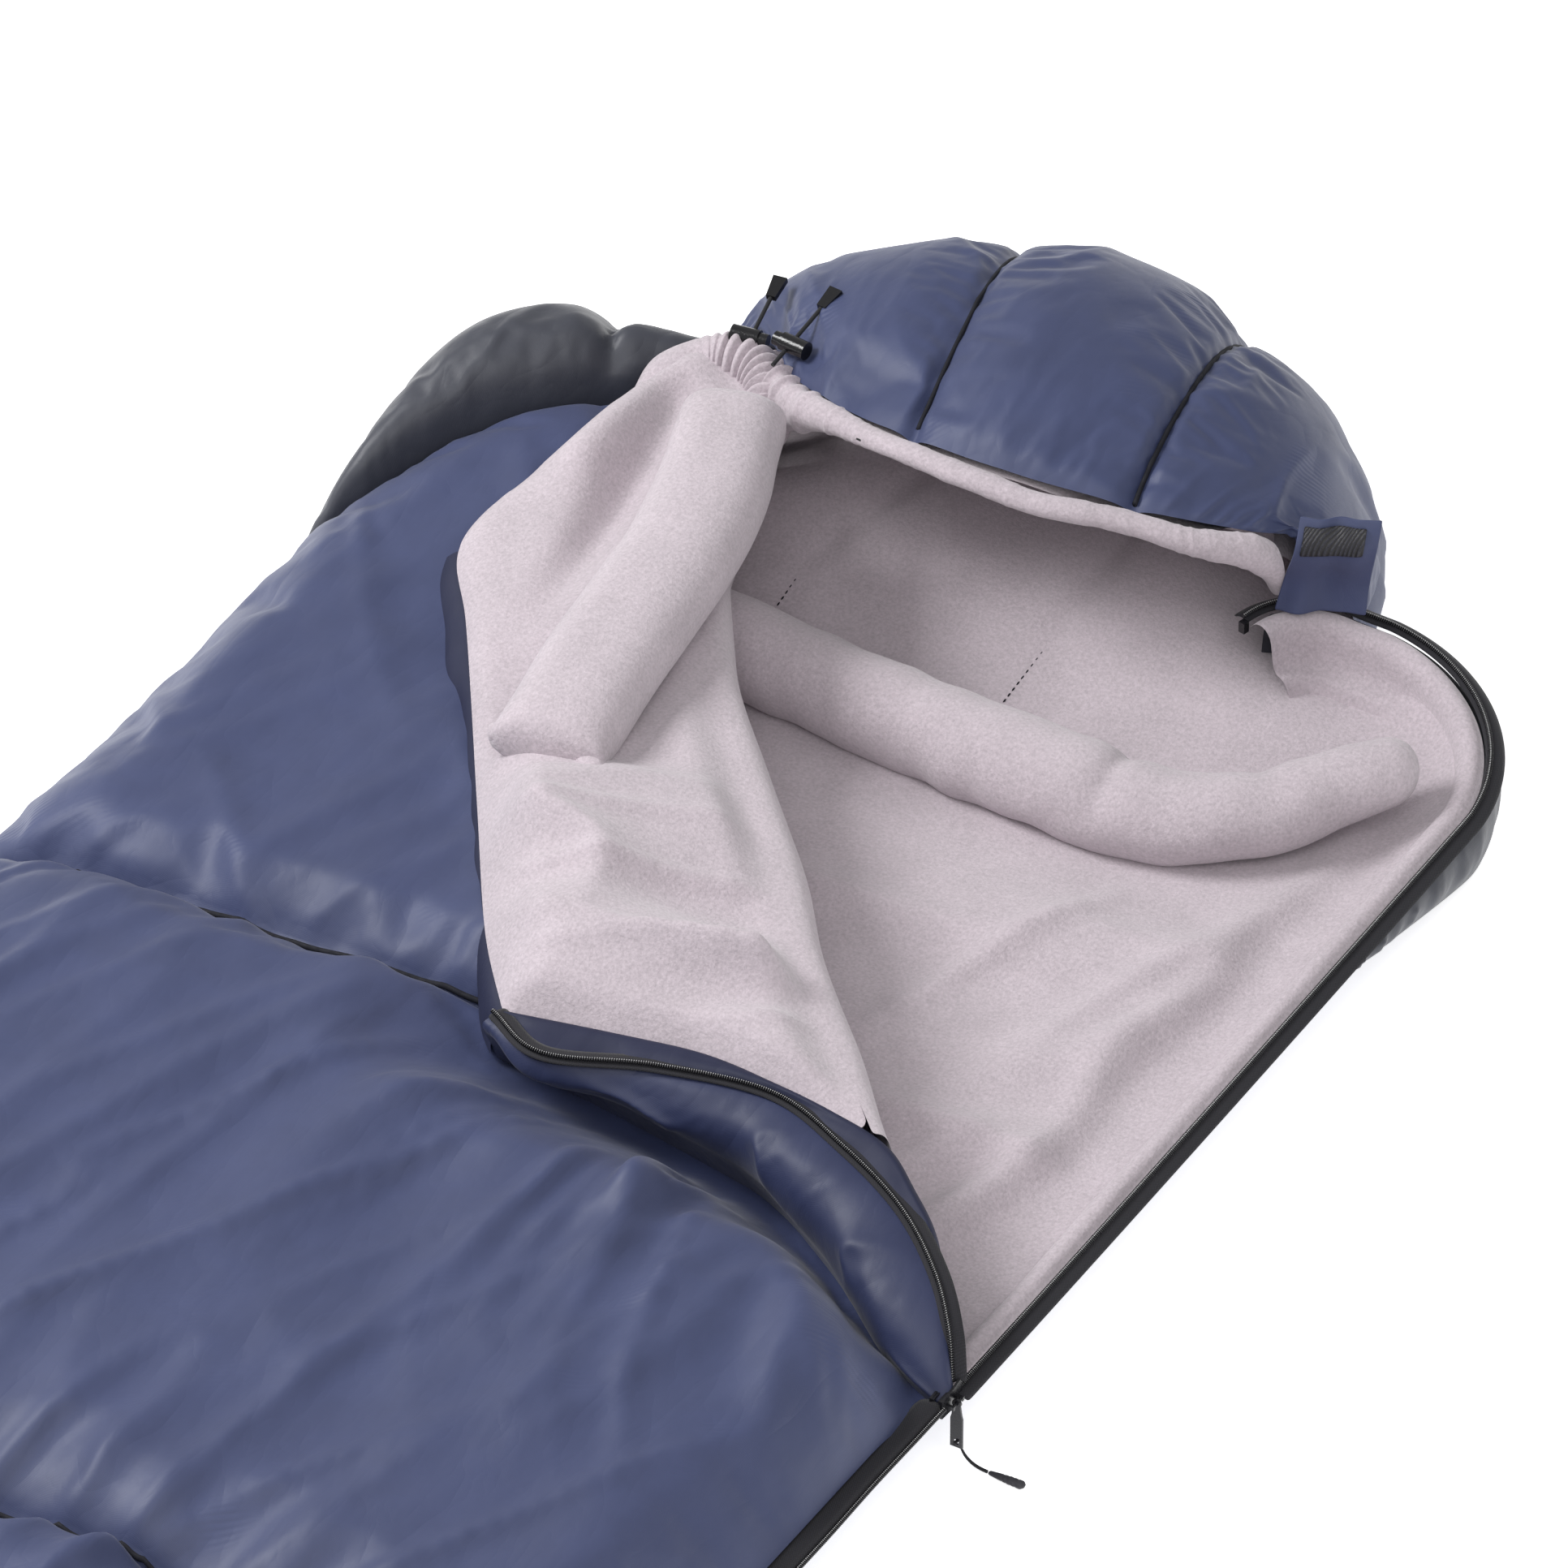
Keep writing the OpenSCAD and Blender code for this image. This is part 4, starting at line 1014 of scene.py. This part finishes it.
def guard_strips():
    """Stitched strip that covers the zip's teeth, on the corner's free edge and in the mouth. Its cloth
    is a darker copy of the navy, as painted shade.
    """
    edge = flap_edge()
    edge = edge[np.argmax(edge[:, 1] < 0.575):]
    path = np.column_stack([edge, FLAP_EDGE_Z + fold_climb(edge[:, 1])])
    n = len(path)
    along = np.arange(n) * FOLD_STEP
    width = 0.008 + 0.009 * smooth((0.15 - along) / 0.06)
    rows = np.empty((n, 7, 2))
    for k, (share, down) in enumerate([(-0.2, 0.004), (0.2, 0.001), (0.5, -0.003), (0.75, -0.008),
                                       (0.92, -0.014), (1.0, -0.021), (0.95, -0.028)]):
        rows[:, k, 0] = width * share
        rows[:, k, 1] = down + 0.0025 * Noise(95)(along / 0.03, share * 2) * share
    rows[..., 0] += (0.003 * Noise(96)(along / 0.04, 0))[:, None] * np.linspace(0, 1, 7)[None]
    # both guard strips take the darker navy copy, which paints in their shade
    outer = sheet("flap_guard_strip", swept(path, rows), NAVY_GUARD_SHADE, level=1)
    place(outer, "navy_dark", "flap", "flap_zip_guard")
    top = mouth_edge()
    n = len(top)
    along = np.arange(n)[:, None] * ZIP_STEP
    free = guard_edge(n)
    t = np.array([-0.1, 0.2, 0.45, 0.7, 0.9, 1.0])
    points = top[:, None] + (free - top)[:, None] * t[None, :, None]
    ripple = 0.0035 * Noise(97)(along / 0.022 + t[None], t[None] * 2)
    points[..., 2] += ripple * np.sin(math.pi * np.clip(t, 0, 1))
    hem = free[:, None] + np.array([[0, 0.006, -0.003], [0, 0.009, -0.016]])[None]
    strip = sheet("mouth_guard_strip", np.concatenate([points, hem], 1), NAVY_GUARD_SHADE, level=1)
    blend_mouth(strip)


def chest_tube():
    """Padded fleece tube on the corner, with a squared end that has two small ears."""
    path = curve([[-0.066, 0.388, 0.158], [-0.080, 0.478, 0.163], [-0.091, 0.570, 0.165],
                  [-0.110, 0.655, 0.165], [-0.146, 0.752, 0.162]], 0.005)
    n = len(path)
    along = np.linspace(0, 1, n)
    rx = 0.038 - 0.003 * along + 0.0015 * Noise(100)(along * 6, 0)
    rz = 0.028 + 0.0015 * Noise(101)(along * 6, 0)
    rz *= 0.36 + 0.64 * dome(along, 0.10)
    rx = rx * (1 + 0.06 * np.exp(-along / 0.03))
    rz[-4:] *= [0.95, 0.86, 0.7, 0.42]
    rx[-4:] *= [1.0, 0.99, 0.95, 0.84]

    def square(points, a):
        """Rounded-square section, with soft dents along its length."""
        centre = path[:, None]
        away = points - centre
        dent = 0.05 * Noise(102)(along[:, None] * 9, np.cos(a)[None] * 1.5)
        size = 1 + 0.06 * np.abs(np.sin(2 * a))[None] + dent
        return centre + away * size[..., None]

    cover = tube("chest_tube_fleece", path, rx, rz, FLEECE, 28, 1, shape=square)
    place(cover, "fleece", "flap", "chest_tube_cover", "chest_tube_fill")
    ends = []
    corners = ((-1, [-0.038, -0.002, 0.0], [-0.004, 0.002, 0.001]),
               (1, [0.036, 0.004, -0.002], [0.005, -0.008, 0.0]))
    for side, corner, tip in corners:
        at = path[0] + corner
        ear = np.linspace(at + [-0.016 * side, 0.014, 0.002], at + tip, 8)
        rx, rz = np.linspace(0.013, 0.0055, 8), np.linspace(0.011, 0.0055, 8)
        ends.append(tube("ear", ear, rx, rz, FLEECE, 12, 1))
    ears = join("chest_tube_ears", *ends)
    place(ears, "fleece", "flap", "chest_tube_tab")


# ---- hood ----------------------------------------------------------------------------------

RIM_X = 0.020           # middle of the hood's face opening
RIM_Y = 0.870           # where the rim's two ends lie
RIM_HALF = 0.189        # half the opening's width
RIM_DIP = 0.116         # how far the rim's middle reaches towards the foot
RIM_SHAPE = 1.16        # above 1, the rim turns in sooner on the zip side
RIM_END_Z = 0.126       # height of the rim's ends
RIM_Z = 0.187           # height of its middle
CROWN_W = 1.05          # how far the crown bulges sideways and back, as shares of the hood's size
CROWN_REACH = 0.48
HOOD_LENGTH = 0.36      # from the rim to the hem, over the crown
# each seam's angle round the head, at the rim and at the hem
HOOD_SEAMS = ((math.radians(102), math.radians(114)), (math.radians(54), math.radians(77)))


def hood_points(a, t, out=0.0):
    """Points of the hood at angles a round the head and shares t from rim (0) to hem (1)."""
    a, t = a[None], t[:, None]
    zero = 0 * a * t
    dip = np.maximum(np.sin(a), 0) ** np.where(np.cos(a) > 0, RIM_SHAPE, 1.0) + zero
    rim = np.stack([RIM_X + RIM_HALF * np.cos(a) + zero, RIM_Y - RIM_DIP * dip,
                    RIM_END_Z + (RIM_Z - RIM_END_Z) * dip], -1)
    hem = np.stack([(HOOD_HALF_W - 0.004) * np.cos(a) + zero,
                    HOOD_Y + (TIP_Y - HOOD_Y - 0.004) * np.sin(a) + zero, BASE_Z + zero], -1)
    crown_end, crown_z = RIM_END_Z - 0.012, RIM_Z + 0.053
    crown = np.stack([HOOD_HALF_W * CROWN_W * np.cos(a) + zero,
                      HOOD_Y + (TIP_Y - HOOD_Y) * CROWN_REACH * np.sin(a) + zero,
                      crown_end + (crown_z - crown_end) * np.sin(a) + zero], -1)
    t = t[..., None]
    points = (1 - t) ** 2 * rim + 2 * t * (1 - t) * crown + t ** 2 * hem
    down = np.gradient(points, axis=0)
    round_ = np.gradient(points, axis=1)
    normal = np.cross(down, round_)
    normal /= np.maximum(np.linalg.norm(normal, axis=2), 1e-9)[..., None]
    middle = np.array([0, 0.9, 0.05])
    normal *= np.sign(np.median(((points - middle) * normal).sum(2)))
    return points + normal * np.broadcast_to(out, points.shape[:2])[..., None]


def hood_slack(a, t):
    """The hood lies flatter than its plain shape towards the zip side."""
    over = np.sin(math.pi * t[:, None] ** 0.75) ** 0.8
    return -0.017 * smooth((62 - np.degrees(a)[None]) / 28) * over


def hood_stuffing(a, t):
    """How far the hood's padding pushes it back and up, as (x, y, z) moves."""
    turn = np.degrees(a)[None]
    over = np.sin(math.pi * t[:, None] ** 0.75) ** 0.8
    push = 0.030 * np.exp(-((turn - 96) / np.where(turn > 96, 50, 32)) ** 2) * over
    return push[..., None] * np.array([0, 1.0, 0.26])


def seam_angle(seam, t):
    """Angle of a hood seam at each share t of the way from the rim to the hem."""
    return seam[0] + (seam[1] - seam[0]) * t ** 0.8


def hood_puff(a, t):
    """How far the hood's cloth stands off its plain shape, and each point's distance from a seam
    and from an edge."""
    width = 0.19 + 0.05 * t[:, None]
    seam_gap = [np.abs(a[None] - seam_angle(seam, t)[:, None]) * width for seam in HOOD_SEAMS]
    gap = np.minimum(*seam_gap)
    edge = np.minimum(t[:, None], 1 - t[:, None]) * HOOD_LENGTH
    puff = hood_slack(a, t) + 0.006 * dome(gap, 0.05) * dome(edge, 0.05) - 0.007 * np.exp(-gap / 0.006)
    s = t[:, None] * HOOD_LENGTH
    w = a[None] * 0.21
    # gathers beside the seams, pleats along the rim, soft creases between
    gather = Noise(110)(s / 0.017 + 0 * w, w / 0.05) + 0.6 * Noise(111)(s / 0.008 + 0 * w, w / 0.04)
    puff += 0.0030 * gather * np.exp(-gap / 0.020) * smooth(gap / 0.006)
    rim_gather = creases(w, s, 0, 0.014, 0.07, 112)
    left = np.exp(-(a.max() - a[None]) * 0.2 / 0.09)
    right = np.exp(-(a[None] - a.min()) * 0.2 / 0.06)
    puff += 0.007 * rim_gather * np.exp(-s / 0.05) * (0.8 * left + right + 0.45) * smooth(s / 0.01)
    puff += 0.0030 * creases(w, s, 24, 0.05, 0.14, 113) * dome(gap, 0.05)
    puff *= 1 - 0.8 * smooth((a[None] - math.radians(145)) / 0.35) * smooth((0.10 - s) / 0.06)
    return puff, gap, edge


def hood_shell():
    """The hood's quilted outer cloth, and the stitching sunk in its two seams."""
    a = np.radians(np.linspace(173, 10, 150))
    t = np.linspace(0, 1, 84)
    puff, gap, edge = hood_puff(a, t)
    points = hood_points(a, t, puff)
    shell = sheet("hood_shell", points + hood_stuffing(a, t), NAVY)
    w = a[None] * 0.2 + 0 * gap
    pinned = (gap < 0.006) | (edge < 0.004) | (w < w.min() + 0.004) | (w > w.max() - 0.004)
    settle(shell, pinned.ravel(), pressure=1.2, growth=0.025, cap=0.005)
    round_off(shell)
    place(shell, "navy", "bag", "hood_outer_shell", "hood_insulation")
    paths = []
    for seam in HOOD_SEAMS:
        line = seam_angle(seam, t)
        puff, _, _ = hood_puff(line, t)
        points = hood_points(line, t, puff + 0.0034)
        points += hood_stuffing(line, t)
        paths.append(points[np.arange(len(t)), np.arange(len(t))][1:-1])
    seam_thread("hood_seam_thread", paths)


def hood_lining():
    """Fleece inside the hood, a padding's thickness under its shell."""
    a = np.radians(np.linspace(166, 17, 90))
    t = np.linspace(0, 1, 40)
    w, s = a[None] * 0.2, t[:, None] * HOOD_LENGTH
    inward = -0.010 - 0.018 * smooth(s / 0.05) + 0.007 * folds(w, s, 10, 0.09, 0.2, 115)
    for seam_a in (math.radians(66), math.radians(122)):
        inward = inward - 0.005 * np.exp(-np.abs(a[None] - seam_a) * 0.2 / 0.0035)
    points = hood_points(a, t, inward + hood_slack(a, t))
    lining = sheet("hood_lining_fleece", points, FLEECE, level=1, flip=True)
    place(lining, "fleece", "bag", "hood_lining")


def hood_rim():
    """Fleece turned over the hood's rim, gathered where the drawcord comes out."""
    a = np.radians(np.linspace(172, 15, 320))
    points = hood_points(a, np.array([0.0, 0.02]))
    path = points[0] + [0, -0.0085, -0.006]
    path[:, 2] -= 0.016 * np.exp(-(a - a.min()) * 0.19 / 0.016)
    along = np.concatenate([[0], np.cumsum(np.linalg.norm(np.diff(path, axis=0), axis=1))])
    # fatter and more ruffled at its two ends
    left = smooth((0.17 - along) / 0.12)
    right = np.exp(-(along[-1] - along) / 0.05)
    ruffle = (1 - np.abs(Noise(120)(along / 0.0085, 0))) ** 2 - 0.4
    radius = 0.0086 + 0.0050 * left + 0.0038 * right
    radius = radius * (1 + ruffle * (0.08 + 0.30 * left) + 0.06 * Noise(124)(along / 0.06, 0))
    path[:, 1] -= 0.003 * Noise(121)(along / 0.05, 0) + 0.003 * left
    path[:, 2] += 0.003 * Noise(122)(along / 0.04, 0) - 0.007 * left
    rim = tube("hood_rim_fleece", path, radius, radius * (0.8 + 0.8 * left + 0.9 * right), FLEECE, 16, 1)
    place(rim, "fleece", "bag", "hood_cord_channel")


def neck_gathers():
    """The neck edge's fleece cord channel, drawn up into deep pleats beside the cord locks."""
    path = curve([[-0.226, 0.748, 0.136], [-0.217, 0.786, 0.142], [-0.203, 0.806, 0.145],
                  [-0.184, 0.812, 0.146], [-0.165, 0.809, 0.145], [-0.152, 0.799, 0.140],
                  [-0.146, 0.786, 0.130]], 0.0012)
    n = len(path)
    along = np.arange(n) * 0.0012
    pleat = smooth((along - 0.055) / 0.03)
    radius = 0.005 + 0.011 * smooth(along / 0.04)
    fold = (1 - np.abs(np.sin(along / 0.0024 + 1.2 * Noise(123)(along / 0.02, 0)))) ** 1.5 - 0.35
    size = radius * (1 - 0.30 * pleat * fold)
    roll = tube("neck_gathers_fleece", path, size, size * (1 + 0.4 * pleat), FLEECE, 20, 1)
    place(roll, "fleece", "bag")


# ---- zip -----------------------------------------------------------------------------------

def beads(name, path, pitch, size, material):
    """A row of small rounded teeth along a path. size is (along, across, up)."""
    path = resample(path, pitch)
    ahead, right = path_frame(path)
    up = np.cross(right, ahead)
    unit, faces = [], []
    for h, r in ((-0.6, 0.8), (0.0, 1.0), (0.6, 0.8)):
        for k in range(6):
            b = k * math.pi / 3
            unit.append([r * math.cos(b), h, r * math.sin(b)])
    unit += [[0, -1, 0], [0, 1, 0]]
    for row in range(2):
        for k in range(6):
            n = (k + 1) % 6
            faces.append([row * 6 + k, row * 6 + n, row * 6 + 6 + n, row * 6 + 6 + k])
    for k in range(6):
        n = (k + 1) % 6
        faces.append([18, n, k])
        faces.append([19, 12 + k, 12 + n])
    unit = np.array(unit) * 0.5
    points = (path[:, None] + unit[None, :, :1] * size[0] * ahead[:, None]
              + unit[None, :, 1:2] * size[1] * right[:, None]
              + unit[None, :, 2:] * size[2] * up[:, None])
    all_faces = []
    for i in range(len(path)):
        all_faces += [[v + i * 20 for v in f] for f in faces]
    return make_mesh(name, points.reshape(-1, 3), all_faces, material)


def zip_run(label, path, section, replaced, tooth_at, attach):
    """Tape, teeth and pale stitching along one run of the zip."""
    tape = sheet(f"zip_tape_{label}", swept(path, section), TAPE, level=1)
    thicken(tape, 0.0008)
    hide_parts(*replaced[:1])
    lifted = swept(path, np.array([tooth_at]))[:, 0]
    teeth = beads(f"zip_teeth_{label}", lifted, 0.0015, (0.0011, 0.0042, 0.0028), COIL)
    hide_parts(*replaced[1:])
    above = lifted + [0, 0, 0.0012]
    thread = beads(f"zip_stitch_{label}", above, 0.0015, (0.0006, 0.0010, 0.0007), STITCH)
    for piece in (tape, teeth, thread):
        attach(piece)


def zips():
    """The open zip on the base panel and along the mouth, and the closed zip below the slider."""
    flat = np.array([[-0.001, -0.001], [0.003, 0.0015], [0.007, 0.001], [0.011, -0.002]])
    zip_run("base", ZIP + [0, 0, 0.002], flat, ["zip_tape_base", "zip_coil_base"], [0.002, 0.0032],
            lambda piece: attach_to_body(piece, "bag"))
    mouth_flat = np.array([[-0.009, 0.002], [-0.004, 0.003], [0.001, 0.0025], [0.004, 0.001]])
    zip_run("mouth", mouth_edge(), mouth_flat, ["zip_coil_flap", "zip_coil_mouth"], [0.0, 0.0042],
            blend_mouth)
    line = resample([[ZIP_X, ZIP_FOOT_Y, ZIP_Z], [ZIP_X, SLIDER_Y - 0.01, ZIP_Z]], 0.01)
    wave = 0.0015 * Noise(130)(np.arange(len(line)) / 6, 0)
    line[:, 0] += wave
    upright = np.array([[-0.013, 0.001], [-0.007, 0.0035], [0.0005, 0.004], [0.0025, 0.0],
                        [0.001, -0.004], [-0.005, -0.006], [-0.014, -0.009]])
    zip_run("closed", line, upright, ["zip_tape_top", "zip_coil_closed"], [0.004, 0.0],
            lambda piece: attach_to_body(piece, "bag"))


# ---- hardware ------------------------------------------------------------------------------

def finish_cad_nodes():
    """CAD solids whose shape is right keep it, and get their materials."""
    looks = {
        "zip_slider": PAINT, "zip_pull_tab": PAINT, "zip_pull_cord": CORD, "zip_bottom_stop": COIL,
        "zip_top_stop": COIL, "hood_drawcord": CORD, "neck_drawcord": CORD, "flap_loop_patch": LOOP,
    }
    for letter in "ab":
        looks[f"cord_lock_barrel_{letter}"] = PLASTIC
        looks[f"cord_lock_plunger_{letter}"] = PLASTIC
        looks[f"cord_lock_spring_{letter}"] = STEEL
        looks[f"cord_end_{letter}"] = PLASTIC
    for name, material in looks.items():
        node = frame["nodes"][name]
        node.data.materials.clear()
        node.data.materials.append(material)


def pull_grip():
    """Moulded grip: rounded, waisted and ribbed."""
    lo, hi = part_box("zip_pull_grip")
    y, z = (lo.y + hi.y) / 2, (lo.z + hi.z) / 2
    x = np.linspace(lo.x, hi.x, 60)
    t = (x - lo.x) / (hi.x - lo.x)
    path = np.column_stack([x, 0 * x + y, 0 * x + z])
    full = np.interp(t, [0, 0.04, 0.3, 0.6, 0.92, 1], [0.3, 0.5, 0.75, 0.95, 1.0, 0.45])
    ribs = 1 - 0.07 * (np.sin(t * math.pi * 16) > 0.3) * (t > 0.35) * (t < 0.85)
    half_y, half_z = (hi.y - lo.y) / 2, (hi.z - lo.z) / 2
    grip = tube("pull_grip_rubber", path, half_y * full * ribs, half_z * full * ribs, RUBBER, 20, 1)
    place(grip, "grip_rubber", "pull_grip", "zip_pull_grip")


def closure_tab():
    """Cloth tab with a hook strip, standing up over the zip's end."""
    joint = JOINTS["closure_tab_swing"]
    at, along = np.array(joint["pos_m"]), np.array(joint["axis"])
    back = np.array([-along[1], along[0], 0])
    u = np.linspace(-0.5, 0.5, 30)[None]
    v = np.linspace(0, 1, 36)[:, None]
    width = 0.052 + 0.006 * (1 - v) ** 2
    height = 0.068
    lean = 0.010 * v ** 2 + 0.004 * np.sin(v * 6) + 0.003 * Noise(140)(u * 4, v * 3)
    side = u * width + 0.012 * v
    points = (at + side[..., None] * along + (lean + 0 * u)[..., None] * back
              + (v * height + 0.002 + 0 * u)[..., None] * np.array([0, 0, 1.0]))
    tab = sheet("closure_tab_cloth", points, NAVY, level=1)
    thicken(tab, 0.0018)
    place(tab, "navy", "closure_tab", "hook_tab")
    rows = (v[:, 0] > 0.66) & (v[:, 0] < 0.97)
    cols = (u[0] > -0.45) & (u[0] < 0.36)
    patch = points[np.ix_(rows, cols)] - back * 0.002
    strip = sheet("closure_hook_strip", patch, HOOK, level=1)
    thicken(strip, 0.0016)
    place(strip, "hook", "closure_tab", "hook_strip")


# ---- stage ---------------------------------------------------------------------------------

def stage():
    """White floor and sky, with a key light from the left and a weaker fill from the foot end."""
    white = Shader("floor_white", Base_Color=(0.95, 0.95, 0.95, 1), Roughness=1.0,
                   Emission_Color=(1, 1, 1, 1), Emission_Strength=0.70).material
    half = 9.0
    corners = [[-half, -half, 0], [half, -half, 0], [half, half, 0], [-half, half, 0]]
    floor = make_mesh("floor", corners, [[0, 1, 2, 3]], white)
    world = bpy.data.worlds.new("studio")
    world.use_nodes = True
    sky = world.node_tree.nodes["Background"]
    sky.inputs["Color"].default_value = (1, 1, 1, 1)
    sky.inputs["Strength"].default_value = 0.48
    bpy.context.scene.world = world
    target = Vector((0.1, 0.3, 0))
    lamps = (("key", (-2.1, -0.4, 2.5), 1.3, 96), ("fill", (1.4, -1.4, 2.6), 2.2, 40))
    for name, at, size, watts in lamps:
        light = bpy.data.lights.new(name, "AREA")
        light.size = size
        light.energy = watts
        lamp = bpy.data.objects.new(name, light)
        lamp.location = at
        lamp.rotation_mode = "QUATERNION"
        lamp.rotation_quaternion = (target - Vector(at)).to_track_quat("-Z", "Y")
        bpy.context.scene.collection.objects.link(lamp)
    bpy.context.scene.view_settings.view_transform = "Standard"


def camera():
    """A long lens from the foot end on the zip side, aimed between the slider and the hood."""
    azimuth, elevation = math.radians(30.2), math.radians(40.4)
    distance = 9.0
    lens_mm = 343.8
    slider = Vector((ZIP_X, SLIDER_Y, ZIP_Z))
    slider_to_aim = Vector((-0.207, 0.156, 0.280))
    level = math.cos(elevation)
    back = Vector((math.sin(azimuth) * level, -math.cos(azimuth) * level, math.sin(elevation)))
    data = bpy.data.cameras.new("camera")
    data.lens = lens_mm
    data.clip_end = 50
    cam = bpy.data.objects.new("camera", data)
    cam.location = slider + back * distance
    cam.rotation_mode = "QUATERNION"
    cam.rotation_quaternion = (slider_to_aim - back * distance).to_track_quat("-Z", "Y")
    bpy.context.scene.collection.objects.link(cam)
    bpy.context.scene.camera = cam


# ---- build ---------------------------------------------------------------------------------

for build in (base_shell, base_lining, zip_facing, outer_wall, neck_tube, top_panel, shoulder_pad,
              flap_fleece, fold_roll, mouth_lip, guard_strips, chest_tube, hood_shell, hood_lining,
              hood_rim, neck_gathers, zips, finish_cad_nodes, pull_grip, closure_tab, stage, camera):
    build()
